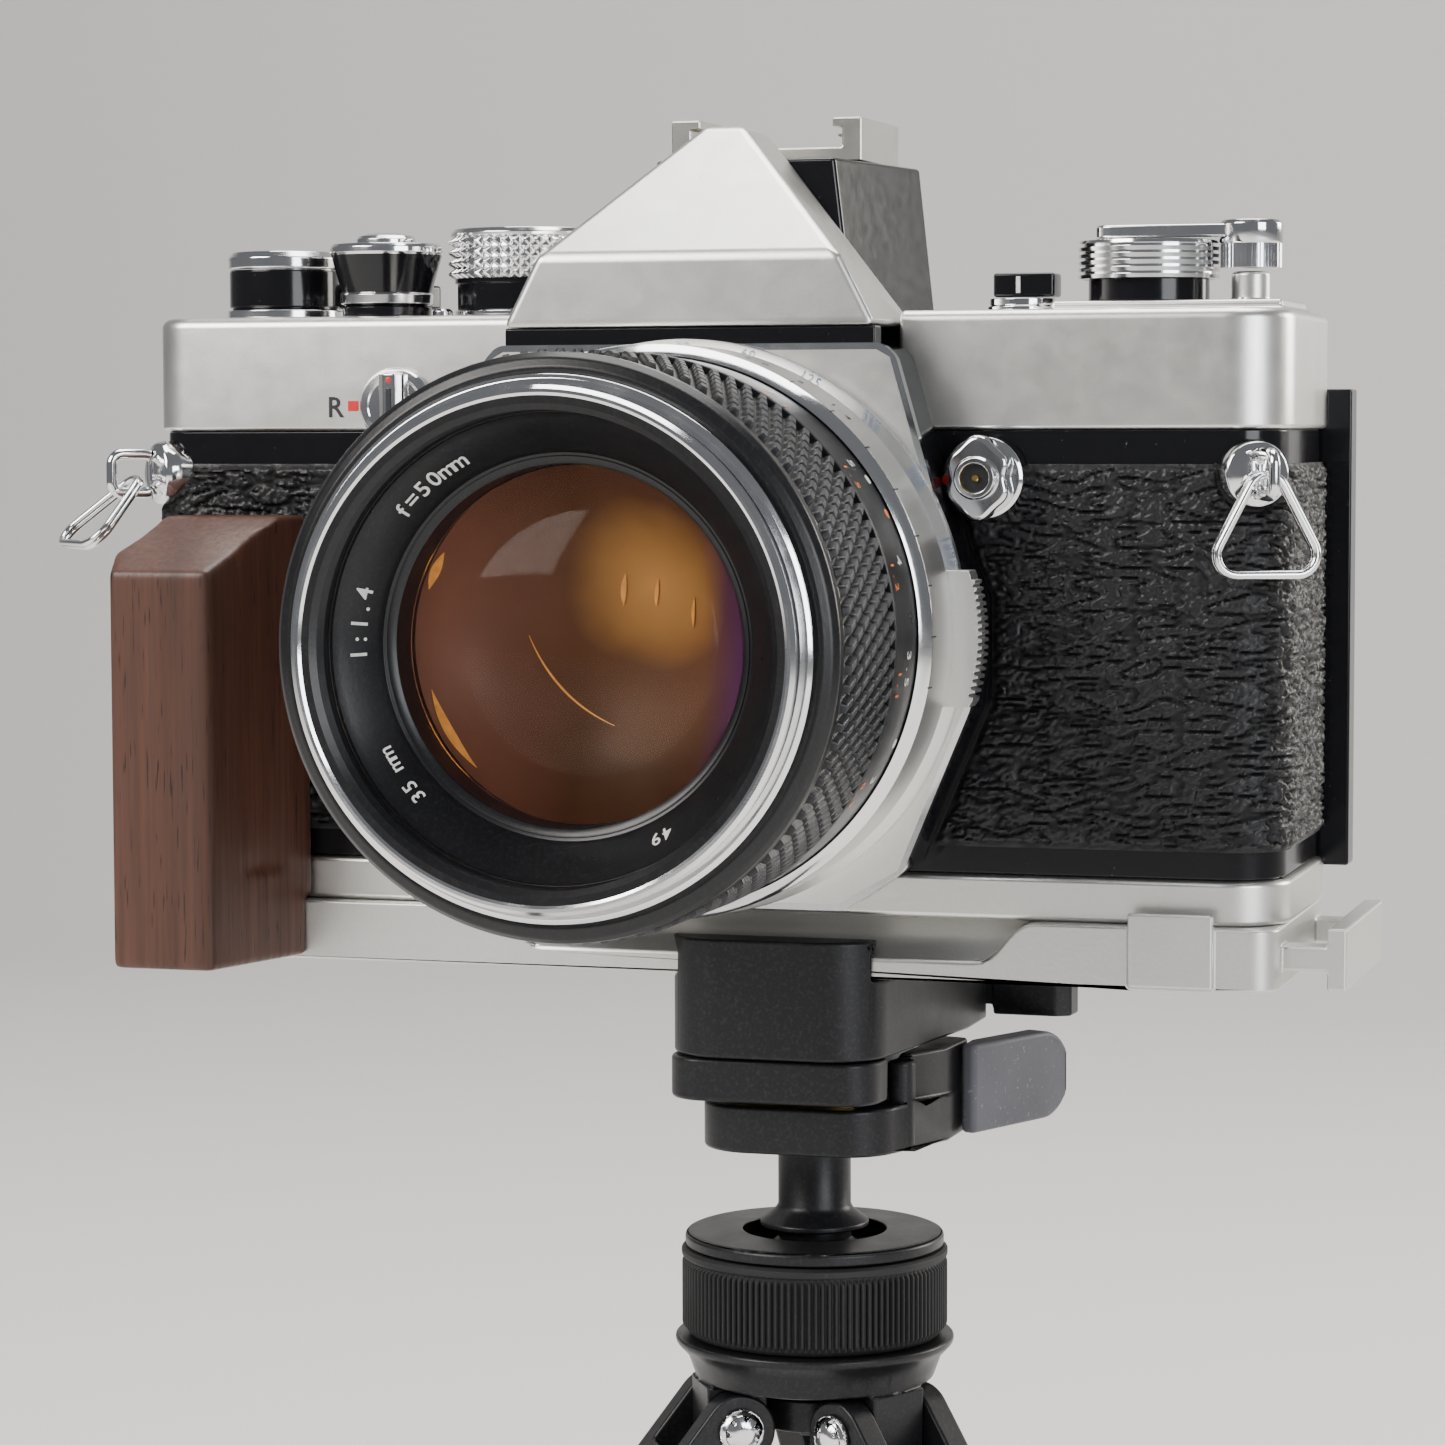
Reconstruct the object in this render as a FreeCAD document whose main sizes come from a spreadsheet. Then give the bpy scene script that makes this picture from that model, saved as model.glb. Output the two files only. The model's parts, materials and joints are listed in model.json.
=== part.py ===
import FreeCAD, Part
import math
import os
import Sketcher

# A 35 mm film camera with its lens, wooden grip and quick-release plate, on a pocket tripod with
# a small ball head. Millimetres, +Z up, +X to the right of someone facing the lens. The
# origin is on the ground, on the tripod's axis. Camera pieces are drawn from the point where the
# lens axis, the front of the body shell and the underside of the bottom cover meet.

doc = FreeCAD.newDocument("FilmCameraOnTripod")

SIZES = {
    "Layout": {
        "lens_x": -7.3,            # lens axis, from the tripod axis
        "shell_y": -17.0,          # front of the body shell
        "deck_z": 166.0,           # underside of the camera's bottom cover
        "skin": 0.7,               # leather thickness
    },
    "Tripod": {
        "ball_z": 118.5, "ball_radius": 8.0,
        "pivot_z": 104.0, "pivot_reach": 11.0, "leg_splay": 38.0,
        "rim_radius": 16.65, "rim_base_z": 111.4, "rim_top_z": 113.7,
        "ear_half": 4.2, "cheek_outer": 7.8, "hinge_pin_radius": 1.6,
        "foot_radius": 5.0, "leg_half_depth": 4.25,
        "ring_radius": 15.9, "ring_bore": 13.6, "ring_base_z": 114.0, "ring_top_z": 124.3,
        "cap_radius": 15.45, "cap_base_z": 124.5, "cap_top_z": 126.3, "tilt_room": 11.5,
        "seat_radius": 13.4, "seat_top_z": 121.5,
        "neck_radius": 4.35, "flare_radius": 6.5, "spigot_radius": 6.0,
        "lever_base_z": 138.0, "lever_top_z": 143.5,
        "pan_base_z": 144.5, "pan_top_z": 149.5,
        "clamp_base_z": 149.7, "clamp_top_z": 158.7, "jaw_top_z": 163.4,
    },
    "Plate": {
        "plate_thick": 7.0, "plate_front": -2.0, "plate_back": 36.0,
        "plate_left": -68.0, "plate_right": 65.3, "lip_height": 2.3, "dovetail_run": 4.7,
        "dovetail_left": -26.0, "dovetail_right": 38.0, "screw_radius": 3.05,
    },
    "Body": {
        "half_width": 68.0, "shell_middle": -2.2, "body_depth": 31.0,
        "corner_radius": 5.0, "right_corner_radius": 7.0,
        "bottom_height": 5.1, "leather_low": 8.3, "leather_high": 51.5,
        "skirt_z": 55.4, "shoulder_z": 68.8, "wall": 1.2,
        "door_low": 4.0, "door_high": 60.0, "door_thick": 4.3,
        "gate_half_width": 18.0, "gate_half_height": 12.0,
        "panel_front": -10.0, "panel_thick": 1.4,
    },
    "Lens": {
        "lens_height": 33.2, "mount_bore": 24.8, "speed_ring_radius": 32.3,
        "base_radius": 31.6, "base_front": -25.0, "base_back": -13.9,
        "focus_radius": 30.6, "focus_front": -54.5, "focus_back": -23.5,
        "aperture_radius": 30.2, "aperture_front": -57.7,
        "nose_radius": 27.9, "filter_radius": 26.85, "filter_front": -61.2,
        "filter_thread": 24.25,
    },
    "Hump": {
        "hump_base_z": 67.0, "crease_z": 75.0, "apex_z": 90.2, "hump_back": 13.0,
        "hump_front": -10.5, "hump_half": 21.8, "crease_half": 17.7, "apex_half": 2.5,
        "apex_front": 4.5, "housing_back": 38.0, "housing_top_z": 87.0,
    },
    "Controls": {
        "wind_x": -58.5, "wind_y": 14.0, "wind_radius": 6.65,
        "release_x": -43.3, "release_y": 9.0, "release_radius": 3.6,
        "film_dial_x": -27.0, "film_dial_y": 14.0, "film_dial_radius": 9.5,
        "rewind_x": 47.6, "rewind_y": 15.0, "rewind_radius": 8.0,
        "switch_x": 33.5, "switch_y": 12.0,
        "rewind_release_x": -38.5, "rewind_release_z": 58.3,
        "sync_x": 32.3, "sync_z": 50.0,
        "strap_lug_z": 50.4, "eye_reach": 2.3,
    },
}


class Size:
    """A length that knows both its value and the spreadsheet expression that gives it."""

    def __init__(self, value, text=None):
        self.value = float(value)
        self.text = text or f"({self.value:.6g})"

    @staticmethod
    def of(other):
        return other if isinstance(other, Size) else Size(other)

    def joined(self, sign, other, value):
        return Size(value, f"({self.text} {sign} {other.text})")

    def __add__(self, other):
        other = Size.of(other)
        return self.joined("+", other, self.value + other.value)

    def __sub__(self, other):
        other = Size.of(other)
        return self.joined("-", other, self.value - other.value)

    def __mul__(self, other):
        other = Size.of(other)
        return self.joined("*", other, self.value * other.value)

    def __truediv__(self, other):
        other = Size.of(other)
        return self.joined("/", other, self.value / other.value)

    def __radd__(self, other):
        return Size.of(other) + self

    def __rsub__(self, other):
        return Size.of(other) - self

    def __rmul__(self, other):
        return Size.of(other) * self

    def __neg__(self):
        return Size.of(0) - self


class SizeSheet:
    """The driving dimensions: one spreadsheet row for each, with the alias that names it."""

    def __init__(self, groups):
        self.sheet = doc.addObject("Spreadsheet::Sheet", "Sizes")
        self.values = {}
        row = 1
        for title, sizes in groups.items():
            self.sheet.set(f"A{row}", title)
            row += 1
            for name, value in sizes.items():
                self.sheet.set(f"A{row}", name)
                self.sheet.set(f"B{row}", str(value))
                self.sheet.setAlias(f"B{row}", name)
                self.values[name] = value
                row += 1
        doc.recompute()

    def __getattr__(self, name):
        return Size(self.values[name], f"Sizes.{name}")


S = SizeSheet(SIZES)
parts = {}
X_AXIS = FreeCAD.Vector(1, 0, 0)
Y_AXIS = FreeCAD.Vector(0, 1, 0)
Z_AXIS = FreeCAD.Vector(0, 0, 1)
UPRIGHT = FreeCAD.Rotation()
ALONG_X = FreeCAD.Rotation(Y_AXIS, 90)
ALONG_Y = FreeCAD.Rotation(X_AXIS, -90)


# ---------------------------------------------------------------- drawing helpers

def cam(x, y, z):
    """A point given from the camera's own corner: lens axis, shell front, bottom cover."""
    return (S.lens_x + x, S.shell_y + y, S.deck_z + z)


def place(obj, at, turn=UPRIGHT):
    obj.Placement = FreeCAD.Placement(FreeCAD.Vector(), turn)
    for letter, size in zip("xyz", at):
        obj.setExpression(f"Placement.Base.{letter}", Size.of(size).text)
    return obj


def bind(obj, **sizes):
    for name, size in sizes.items():
        obj.setExpression(name, Size.of(size).text)
    return obj


def keep(node, obj):
    """Name a finished sub-part and list it for export."""
    obj.Label = node
    parts[node] = obj
    return obj


def draw(body, role, corners, lift=0):
    """Draw a closed outline of straight runs on one of the body's own origin planes."""
    plane = next(feature for feature in body.Origin.OriginFeatures if feature.Role == role)
    sketch = body.newObject("Sketcher::SketchObject", f"{body.Name}_outline")
    sketch.AttachmentSupport = [(plane, "")]
    sketch.MapMode = "FlatFace"
    sketch.setExpression("AttachmentOffset.Base.z", Size.of(lift).text)
    corners = [(Size.of(across), Size.of(up)) for across, up in corners]
    spots = [FreeCAD.Vector(across.value, up.value, 0) for across, up in corners]
    count = len(spots)
    sketch.addGeometry([Part.LineSegment(spots[i], spots[(i + 1) % count]) for i in range(count)], False)
    for index in range(count):
        sketch.addConstraint(Sketcher.Constraint("Coincident", index, 2, (index + 1) % count, 1))
    for index, corner in enumerate(corners):
        for kind, size in zip(("DistanceX", "DistanceY"), corner):
            number = sketch.addConstraint(Sketcher.Constraint(kind, -1, 1, index, 1, size.value))
            sketch.setExpression(f"Constraints[{number}]", size.text)
    return sketch


def turned(name, profile, at, axis="Z"):
    """A lathe-turned body. Its profile is (radius, height), or (distance, radius) about X."""
    body = doc.addObject("PartDesign::Body", name)
    role = {"Z": "XZ_Plane", "Y": "XY_Plane", "X": "XY_Plane"}[axis]
    sketch = draw(body, role, profile)
    turn = body.newObject("PartDesign::Revolution", f"{name}_turned")
    turn.Profile = sketch
    turn.ReferenceAxis = (sketch, ["H_Axis" if axis == "X" else "V_Axis"])
    turn.Angle = 360
    return place(body, at)


def slab(name, role, corners, thickness, at, turn=UPRIGHT, middle=False, back=False):
    """A flat body: an outline on an origin plane, padded to its thickness."""
    body = doc.addObject("PartDesign::Body", name)
    sketch = draw(body, role, corners)
    pad = body.newObject("PartDesign::Pad", f"{name}_pad")
    pad.Profile = sketch
    bind(pad, Length=thickness)
    pad.Reversed = back
    if middle:
        pad.SideType = "Symmetric"
    return place(body, at, turn)


def rounded(body, radius, along, where=None):
    """Fillet the body's straight edges that run along one direction."""
    doc.recompute()
    base = body.Tip
    chosen = []
    for number, edge in enumerate(base.Shape.Edges, start=1):
        if len(edge.Vertexes) != 2:
            continue
        run = edge.Vertexes[1].Point - edge.Vertexes[0].Point
        if not edge.Curve.TypeId.endswith("GeomLine") or run.Length < 0.01:
            continue
        if abs(run.normalize().dot(along)) > 0.999 and (where is None or where(edge.CenterOfMass)):
            chosen.append(f"Edge{number}")
    fillet = body.newObject("PartDesign::Fillet", f"{body.Name}_fillet")
    fillet.Base = (base, chosen)
    bind(fillet, Radius=radius)
    return body


def box(name, low, high):
    """A block between two opposite corners."""
    block = doc.addObject("Part::Box", name)
    sides = [Size.of(far) - Size.of(near) for near, far in zip(low, high)]
    bind(block, Length=sides[0], Width=sides[1], Height=sides[2])
    return place(block, low)


def rod(name, radius, length, at, turn=UPRIGHT):
    """A round bar from a point, along the turned Z axis."""
    bar = doc.addObject("Part::Cylinder", name)
    bind(bar, Radius=radius, Height=length)
    return place(bar, at, turn)


def ball_of(name, radius, at):
    sphere = doc.addObject("Part::Sphere", name)
    bind(sphere, Radius=radius)
    return place(sphere, at)


def joined(name, *pieces):
    fuse = doc.addObject("Part::MultiFuse", name)
    fuse.Shapes = list(pieces)
    return fuse


def cut(name, base, *tools):
    result = doc.addObject("Part::Cut", name)
    result.Base = base
    result.Tool = tools[0] if len(tools) == 1 else joined(f"{name}_tools", *tools)
    return result


def common(name, first, second):
    result = doc.addObject("Part::Common", name)
    result.Base = first
    result.Tool = second
    return result


def solid_from_faces(name, faces, at):
    """A flat-faced solid, each face given by its corners."""
    feature = doc.addObject("Part::Feature", name)
    made = [Part.Face(Part.makePolygon(corners + corners[:1])) for corners in faces]
    shape = Part.Solid(Part.Shell(made))
    if shape.Volume < 0:
        shape.reverse()
    feature.Shape = shape
    return place(feature, at)


def bar_path(name, corners, wire_radius, bend, at, turn=UPRIGHT):
    """A round wire bent round the corners of a closed loop."""
    count = len(corners)
    edges = []
    previous = None
    first = None
    for index in range(count):
        corner = corners[index]
        before = (corners[index - 1] - corner).normalize()
        after = (corners[(index + 1) % count] - corner).normalize()
        half = before.getAngle(after) / 2
        setback = bend / math.tan(half)
        entry = corner + before * setback
        leave = corner + after * setback
        middle = (before + after).normalize()
        crest = corner + middle * (bend / math.sin(half) - bend)
        if previous is not None:
            edges.append(Part.LineSegment(previous, entry).toShape())
        else:
            first = entry
        edges.append(Part.Arc(entry, crest, leave).toShape())
        previous = leave
    edges.append(Part.LineSegment(previous, first).toShape())
    path = Part.Wire(Part.__sortEdges__(edges))
    start = path.Vertexes[0].Point
    heading = path.Edges[0].tangentAt(path.Edges[0].FirstParameter)
    section = Part.Wire(Part.makeCircle(wire_radius, start, heading))
    feature = doc.addObject("Part::Feature", name)
    feature.Shape = path.makePipeShell([section], True, False)
    return place(feature, at, turn)


# ---------------------------------------------------------------- tripod

LEG_AZIMUTHS = {"right": -30.0, "left": 210.0, "back": 90.0}


def about_z(azimuth):
    return FreeCAD.Rotation(Z_AXIS, azimuth)


def at_pivot(azimuth, reach, height=0):
    angle = math.radians(azimuth)
    return (reach * math.cos(angle), reach * math.sin(angle), S.pivot_z + height)


def make_crown():
    """The tripod's top: a rim, a hub and three hinge ears, on which everything stands."""
    pieces = [
        turned("crown_rim", [
            (10, S.rim_top_z), (S.rim_radius, S.rim_top_z), (S.rim_radius, S.rim_top_z - 0.8),
            (15.2, S.rim_base_z), (14.2, S.rim_base_z - 2.8), (10, S.rim_base_z - 2.8)], (0, 0, 0)),
        turned("crown_hub", [(0, -1), (7.4, -1), (7.4, 2.9), (0, 2.9)], (0, 0, S.pivot_z)),
    ]
    bores = []
    for name, azimuth in LEG_AZIMUTHS.items():
        pieces.append(slab(f"crown_ear_{name}", "XZ_Plane", [
            (10.1, 4.6), (14.2, 4.6), (14.0, -3.5), (12.5, -5.2), (8, -5.2), (6.8, -3), (6.8, 3)],
            S.ear_half * 2, (0, 0, S.pivot_z), about_z(azimuth), middle=True))
        bores.append(cross_bar(f"crown_bore_{name}", S.hinge_pin_radius + 0.05, S.cheek_outer * 2 + 8,
                               at_pivot(azimuth, S.pivot_reach), about_z(azimuth)))
    keep("crown", cut("crown_cut", joined("crown_body", *pieces), *bores))


def make_leg(name, azimuth):
    """One leg, drawn hanging straight down from its hinge and then splayed outwards."""
    splay = math.radians(S.leg_splay.value)
    length = (S.pivot_z - S.foot_radius).value / math.cos(splay)
    turn = about_z(azimuth).multiply(FreeCAD.Rotation(Y_AXIS, -S.leg_splay.value))
    pivot = at_pivot(azimuth, S.pivot_reach)
    shank = slab(f"leg_{name}_shank", "YZ_Plane", [
        (-S.cheek_outer, 0), (-S.cheek_outer, -14), (-5.2, -34), (-4.6, 4.5 - length), (4.6, 4.5 - length),
        (5.2, -34), (S.cheek_outer, -14), (S.cheek_outer, 0)], S.leg_half_depth * 2, pivot, turn, middle=True)
    knuckle = cross_bar(f"leg_{name}_knuckle", S.leg_half_depth, S.cheek_outer * 2, pivot, turn)
    slot = slab(f"leg_{name}_slot", "YZ_Plane", [
        (-S.ear_half - 0.15, 5), (-S.ear_half - 0.15, -7.4), (S.ear_half + 0.15, -7.4),
        (S.ear_half + 0.15, 5)], 24, pivot, turn, middle=True)
    bore = cross_bar(f"leg_{name}_bore", S.hinge_pin_radius + 0.05, 30, pivot, turn)
    keep(f"leg_{name}", cut(f"leg_{name}_cut", joined(f"leg_{name}_body", shank, knuckle), slot, bore))
    reach = S.pivot_reach + math.sin(splay) * length
    drop = -math.cos(splay) * length
    keep(f"foot_{name}", place(turned(f"foot_{name}_body", [
        (0, -S.foot_radius), (2.6, -4.3), (4.3, -2.6), (S.foot_radius, 0), (4.8, 4.4), (0, 4.4)], pivot),
        at_pivot(azimuth, reach, drop), turn))


def cross_bar(name, radius, length, middle, turn):
    """A round bar centred on the hinge, along the leg's own cross axis."""
    half = Size.of(length) / 2
    body = doc.addObject("PartDesign::Body", name)
    sketch = draw(body, "XY_Plane", [(0, -half), (radius, -half), (radius, half), (0, half)])
    spin = body.newObject("PartDesign::Revolution", f"{name}_turned")
    spin.Profile = sketch
    spin.ReferenceAxis = (sketch, ["V_Axis"])
    spin.Angle = 360
    return place(body, middle, turn)


def make_hinge_pins():
    pins = []
    for name, azimuth in LEG_AZIMUTHS.items():
        pivot = at_pivot(azimuth, S.pivot_reach)
        pieces = [cross_bar(f"pin_shaft_{name}", S.hinge_pin_radius, S.cheek_outer * 2 + 0.4, pivot,
                            about_z(azimuth))]
        for side, turn in (("near", about_z(azimuth)), ("far", about_z(azimuth + 180))):
            head = turned(f"pin_head_{name}_{side}", [
                (0, S.cheek_outer + 0.1), (2.9, S.cheek_outer + 0.1), (2.4, S.cheek_outer + 1.0),
                (1.3, S.cheek_outer + 1.6), (0, S.cheek_outer + 1.8)], (0, 0, 0), "Y")
            pieces.append(place(head, pivot, turn))
        pins.append(joined(f"hinge_pin_{name}", *pieces))
    group = doc.addObject("Part::Compound", "hinge_pins")
    group.Links = pins
    keep("leg_hinge_pins", group)


def make_ball_head():
    centre = (0, 0, S.ball_z)
    seat = turned("seat_body", [
        (0, 109.4), (9.8, 109.4), (9.8, S.rim_top_z), (S.seat_radius, S.rim_top_z),
        (S.seat_radius, S.seat_top_z), (0, S.seat_top_z)], (0, 0, 0))
    keep("ball_seat", cut("seat_cut", seat, ball_of("seat_hollow", S.ball_radius + 0.08, centre)))
    keep("ball", ball_of("ball_body", S.ball_radius, centre))
    cap = turned("cap_body", [
        (11.6, S.seat_top_z), (13.3, S.seat_top_z), (13.3, S.cap_base_z), (S.cap_radius, S.cap_base_z),
        (S.cap_radius, S.cap_top_z - 0.5), (S.cap_radius - 0.5, S.cap_top_z - 0.2), (8, S.cap_top_z),
        (8, S.cap_base_z), (11.6, S.cap_base_z)], (0, 0, 0))
    keep("ball_cap", cut("cap_cut", cap, ball_of("cap_room", S.tilt_room, centre)))
    keep("lock_ring", turned("ring_body", [
        (S.ring_bore, S.ring_base_z), (S.ring_radius - 0.6, S.ring_base_z),
        (S.ring_radius, S.ring_base_z + 0.6), (S.ring_radius, S.ring_top_z - 0.6),
        (S.ring_radius - 0.6, S.ring_top_z), (S.ring_bore, S.ring_top_z)], (0, 0, 0)))
    stem = turned("stem_body", [
        (0, S.ball_z + 5), (4.4, S.ball_z + 6.2), (4.4, S.cap_top_z + 0.1),
        (S.flare_radius, S.cap_top_z + 0.4),
        (S.flare_radius, S.cap_top_z + 1), (S.neck_radius + 0.3, S.cap_top_z + 2.4),
        (S.neck_radius, S.cap_top_z + 3), (S.neck_radius, S.lever_base_z - 1),
        (9, S.lever_base_z - 0.7), (9, S.lever_base_z - 0.1), (S.spigot_radius, S.lever_base_z - 0.1),
        (S.spigot_radius, S.pan_top_z - 1.2), (0, S.pan_top_z - 1.2)], (0, 0, 0))
    keep("stem", cut("stem_cut", stem, ball_of("stem_hollow", S.ball_radius + 0.08, centre)))


def nose_outline(half, front, flare_x, flare_y, back):
    """Plan of the head's stacked plates: a blunt nose that widens towards the back."""
    return [(-half, front), (half, front), (flare_x, flare_y), (flare_x, back), (-half, back)]


def make_head():
    bore = S.spigot_radius + 0.08
    lever_high = S.lever_top_z - S.lever_base_z
    arm = slab("lever_arm", "XY_Plane", [
        (-10, -17.8), (11.5, -17.8), (17.2, -3), (17.4, 5.4), (12, 8.6), (-10, 8.6)], lever_high,
        (0, 0, S.lever_base_z))
    rounded(arm, 6.5, Z_AXIS, lambda spot: spot.y < -15)
    tall = slab("lever_tall", "XY_Plane", [
        (12.6, -9.2), (14.0, -9.2), (16.8, -3), (17.1, 0.6), (17.5, 5.5), (13.6, 6.4), (13.4, 0.6)],
        S.pan_top_z - S.lever_base_z - 0.4, (0, 0, S.lever_base_z))
    stop = rod("lever_stop", 1.6, 10.2, (13.1, -9.6, S.lever_base_z + 0.2))
    hole = rod("lever_hole", bore, 20, (0, 0, S.lever_base_z - 5))
    keep("pan_lever", cut("lever_cut", joined("lever_all", arm, tall, stop), hole))
    paddle = slab("paddle_body", "XY_Plane", [
        (17.65, 1.2), (19.4, 0.6), (26.9, 17.5), (26.5, 19.5), (24.5, 19.9), (17.75, 5.6)],
        S.pan_top_z - S.lever_base_z - 0.9, (0, 0, S.lever_base_z + 0.3))
    rounded(paddle, 0.8, Z_AXIS)
    high = (S.pan_top_z - S.lever_base_z - 0.9) / 2
    middle_z = S.lever_base_z + 0.3 + high
    turn = about_z(68.1)
    side = slab("paddle_side", "XZ_Plane", [(-1, -high), (14.4, -high), (14.4, high), (-1, high)], 16,
                (18.34, 0.8, middle_z), turn, middle=True)
    end = cross_bar("paddle_end", high, 16, FreeCAD.Vector(23.71, 14.18, middle_z.value), turn)
    keep("pan_paddle", common("paddle_cut", paddle, joined("paddle_view", side, end)))
    keep("brass_washer", turned("washer_body", [
        (bore, S.lever_top_z + 0.1), (10.8, S.lever_top_z + 0.1), (10.8, S.pan_base_z),
        (bore, S.pan_base_z)], (0, 0, 0)))
    plate = slab("pan_plate", "XY_Plane", [
        (-12.3, -21.5), (12.3, -21.5), (12.9, -15), (10.9, -13.6), (10.9, 6), (7, 10.6), (4, 12),
        (-12.3, 12)],
        S.pan_top_z - S.pan_base_z, (0, 0, S.pan_base_z))
    rounded(plate, 4.5, Z_AXIS, lambda spot: spot.y < -20)
    keep("pan_housing", cut("pan_cut", plate, rod("pan_hole", bore, 20, (0, 0, S.pan_base_z - 5))))


def make_clamp():
    """The quick-release clamp: a fixed front jaw, and a back jaw that its lever moves."""
    low = S.shell_y + S.plate_front
    high = S.shell_y + S.plate_back
    base = slab("clamp_base", "XY_Plane", nose_outline(12.3, -22.4, 17, 8, 17.5),
                S.clamp_top_z - S.clamp_base_z, (0, 0, S.clamp_base_z))
    rounded(base, 7, Z_AXIS, lambda spot: spot.y < -20)
    nose = slab("clamp_nose", "XY_Plane", nose_outline(12.3, -22.4, 17, 8, 17.5), 20,
                (0, 0, S.clamp_base_z))
    rounded(nose, 7, Z_AXIS, lambda spot: spot.y < -20)
    jaw_drop = S.jaw_top_z - S.clamp_top_z
    hook = jaw_drop - S.lip_height - 0.4
    jaw = slab("front_jaw", "YZ_Plane", [
        (-22.4, 0), (low - 0.25, 0), (low - 0.25, S.lip_height + 0.4), (low - 0.25 + hook, jaw_drop),
        (-22.4, jaw_drop)], 24.6, (0, 0, S.clamp_top_z), middle=True)
    keep("clamp_body", joined("clamp_all", base, common("front_jaw_round", jaw, nose)))
    back = slab("back_jaw", "YZ_Plane", [
        (high + 4.6, -3.9), (high + 4.6, jaw_drop), (high + 0.25 - hook, jaw_drop),
        (high + 0.25, S.lip_height + 0.4), (high + 0.25, 0), (18, 0), (18, -3.9)], 24,
        (0, 0, S.clamp_top_z), middle=True)
    keep("clamp_jaw", back)
    lever_z = S.clamp_base_z + 1.6
    hub = rod("clamp_hub", 3.6, 3.2, (12.5, 21.6, lever_z))
    arm = box("clamp_arm", (12.5, 18.2, lever_z), (20.5, 21.4, lever_z + 3.2))
    grip = slab("clamp_grip", "XY_Plane", [
        (17.6, 18.2), (25.4, 18.0), (27.2, 19), (27.4, 22.2), (26, 23.4), (17.6, 22.6)],
        6.2, (0, 0, S.clamp_base_z + 0.4))
    keep("clamp_lever", joined("clamp_lever_all", hub, arm, grip))


# ---------------------------------------------------------------- quick-release plate and grip

# The S-shaped rise from the dovetail's lip to the full bar: share along it, share of its height.
S_CURVE = [(0.0, 0.0), (0.15, 0.03), (0.3, 0.13), (0.42, 0.3), (0.5, 0.45), (0.58, 0.6), (0.7, 0.8),
           (0.85, 0.95), (1.0, 1.0)]


def make_plate():
    """The quick-release plate: dovetailed in the middle, a bar as high as it is thick at each end."""
    thick = S.plate_thick
    lip_top = S.lip_height - thick
    bar = slab("plate_bar", "XY_Plane", [
        (S.plate_left, S.plate_front), (S.plate_right, S.plate_front), (S.plate_right, S.plate_back),
        (S.plate_left, S.plate_back)], thick, cam(0, 0, -thick))
    rounded(bar, 3.2, Z_AXIS, lambda spot: spot.x > 0)
    slopes = []
    sweeps = []
    for name, edge, inward in (("front", S.plate_front, 1), ("back", S.plate_back, -1)):
        slopes.append(slab(f"undercut_{name}", "YZ_Plane", [
            (inward * -1, lip_top), (0, lip_top), (inward * S.dovetail_run, 0),
            (inward * S.dovetail_run, 1), (inward * -1, 1)],
            S.dovetail_right - S.dovetail_left, cam(S.dovetail_left, edge, 0)))
        near, far = (edge, edge + S.dovetail_run) if inward > 0 else (edge - S.dovetail_run, edge)
        run = box(f"sweep_room_{name}", cam(S.dovetail_left - 1, near, -thick), cam(S.dovetail_right + 1, far, 0))
        for end, start, length in (("right", S.dovetail_right, -7.1), ("left", S.dovetail_left, 5.5)):
            outer = start + (0.6 if length < 0 else -0.6)
            curve = [(start + length * (1 - along), lip_top - lip_top * rise) for along, rise in S_CURVE]
            profile = slab(f"sweep_{name}_{end}", "XZ_Plane",
                           [(start + length, lip_top - 0.6), *curve, (outer, 0), (outer, lip_top - 0.6)],
                           60, cam(0, -10, 0), back=True)
            sweeps.append(common(f"sweep_body_{name}_{end}", profile, run))
    pocket = rod("screw_pocket", 7.6, 4.1, cam(0, 17, -thick))
    hole = rod("screw_hole", S.screw_radius + 0.25, 20, cam(0, 17, -10))
    bar_cut = cut("plate_bar_cut", bar, *slopes, pocket, hole)
    tab = box("plate_tab", cam(48.8, S.plate_front - 0.7, 0.2 - thick), cam(58.4, S.plate_front, 1.6))
    post = box("strap_post", cam(70.4, 2, -thick), cam(72.6, 32, 0))
    webs = [box(f"strap_web_{name}", cam(S.plate_right - 0.5, low, -4.9), cam(70.5, high, -2.1))
            for name, low, high in (("front", 2, 6), ("back", 28, 32))]
    keep("base_plate", joined("plate_all", bar_cut, *sweeps, tab, post, *webs))
    keep("camera_screw", turned("screw_body", [
        (0, -6.6), (7, -6.6), (7, -3), (S.screw_radius, -3), (S.screw_radius, 5.8), (0, 5.8)],
        cam(0, 17, 0)))


def make_grip():
    """The walnut grip: a block in front of the shell's corner, hollowed for the fingers."""
    block = slab("grip_block", "XY_Plane", [
        (-68.8, -1.4), (-68.8, -12), (-66.4, -20), (-54.2, -20), (-49.7, -2.2), (-49.7, -0.1),
        (-67.9, -0.1), (-67.9, -1.4)], 52.0, cam(0, 0, -6.5))
    slope = slab("grip_slope", "YZ_Plane", [
        (-21, 39.0), (-21, 47), (-1, 47), (-6.5, 45.5), (-19, 39.8)], 40, cam(-75, 0, 0))
    scoop = doc.addObject("Part::Cylinder", "grip_scoop")
    bind(scoop, Radius=7, Height=30)
    place(scoop, cam(-72.5, -24, 46.5), ALONG_Y)
    recess = doc.addObject("Part::Cylinder", "grip_recess")
    bind(recess, Radius=24, Height=40)
    place(recess, cam(-28.9, -16, 4), UPRIGHT)
    ledge = box("grip_ledge", cam(-72, S.plate_front - 0.1, -10), cam(-45, 2, 0.1))
    keep("wood_grip", cut("grip_cut", block, slope, scoop, recess, ledge))


# ---------------------------------------------------------------- camera body

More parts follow.
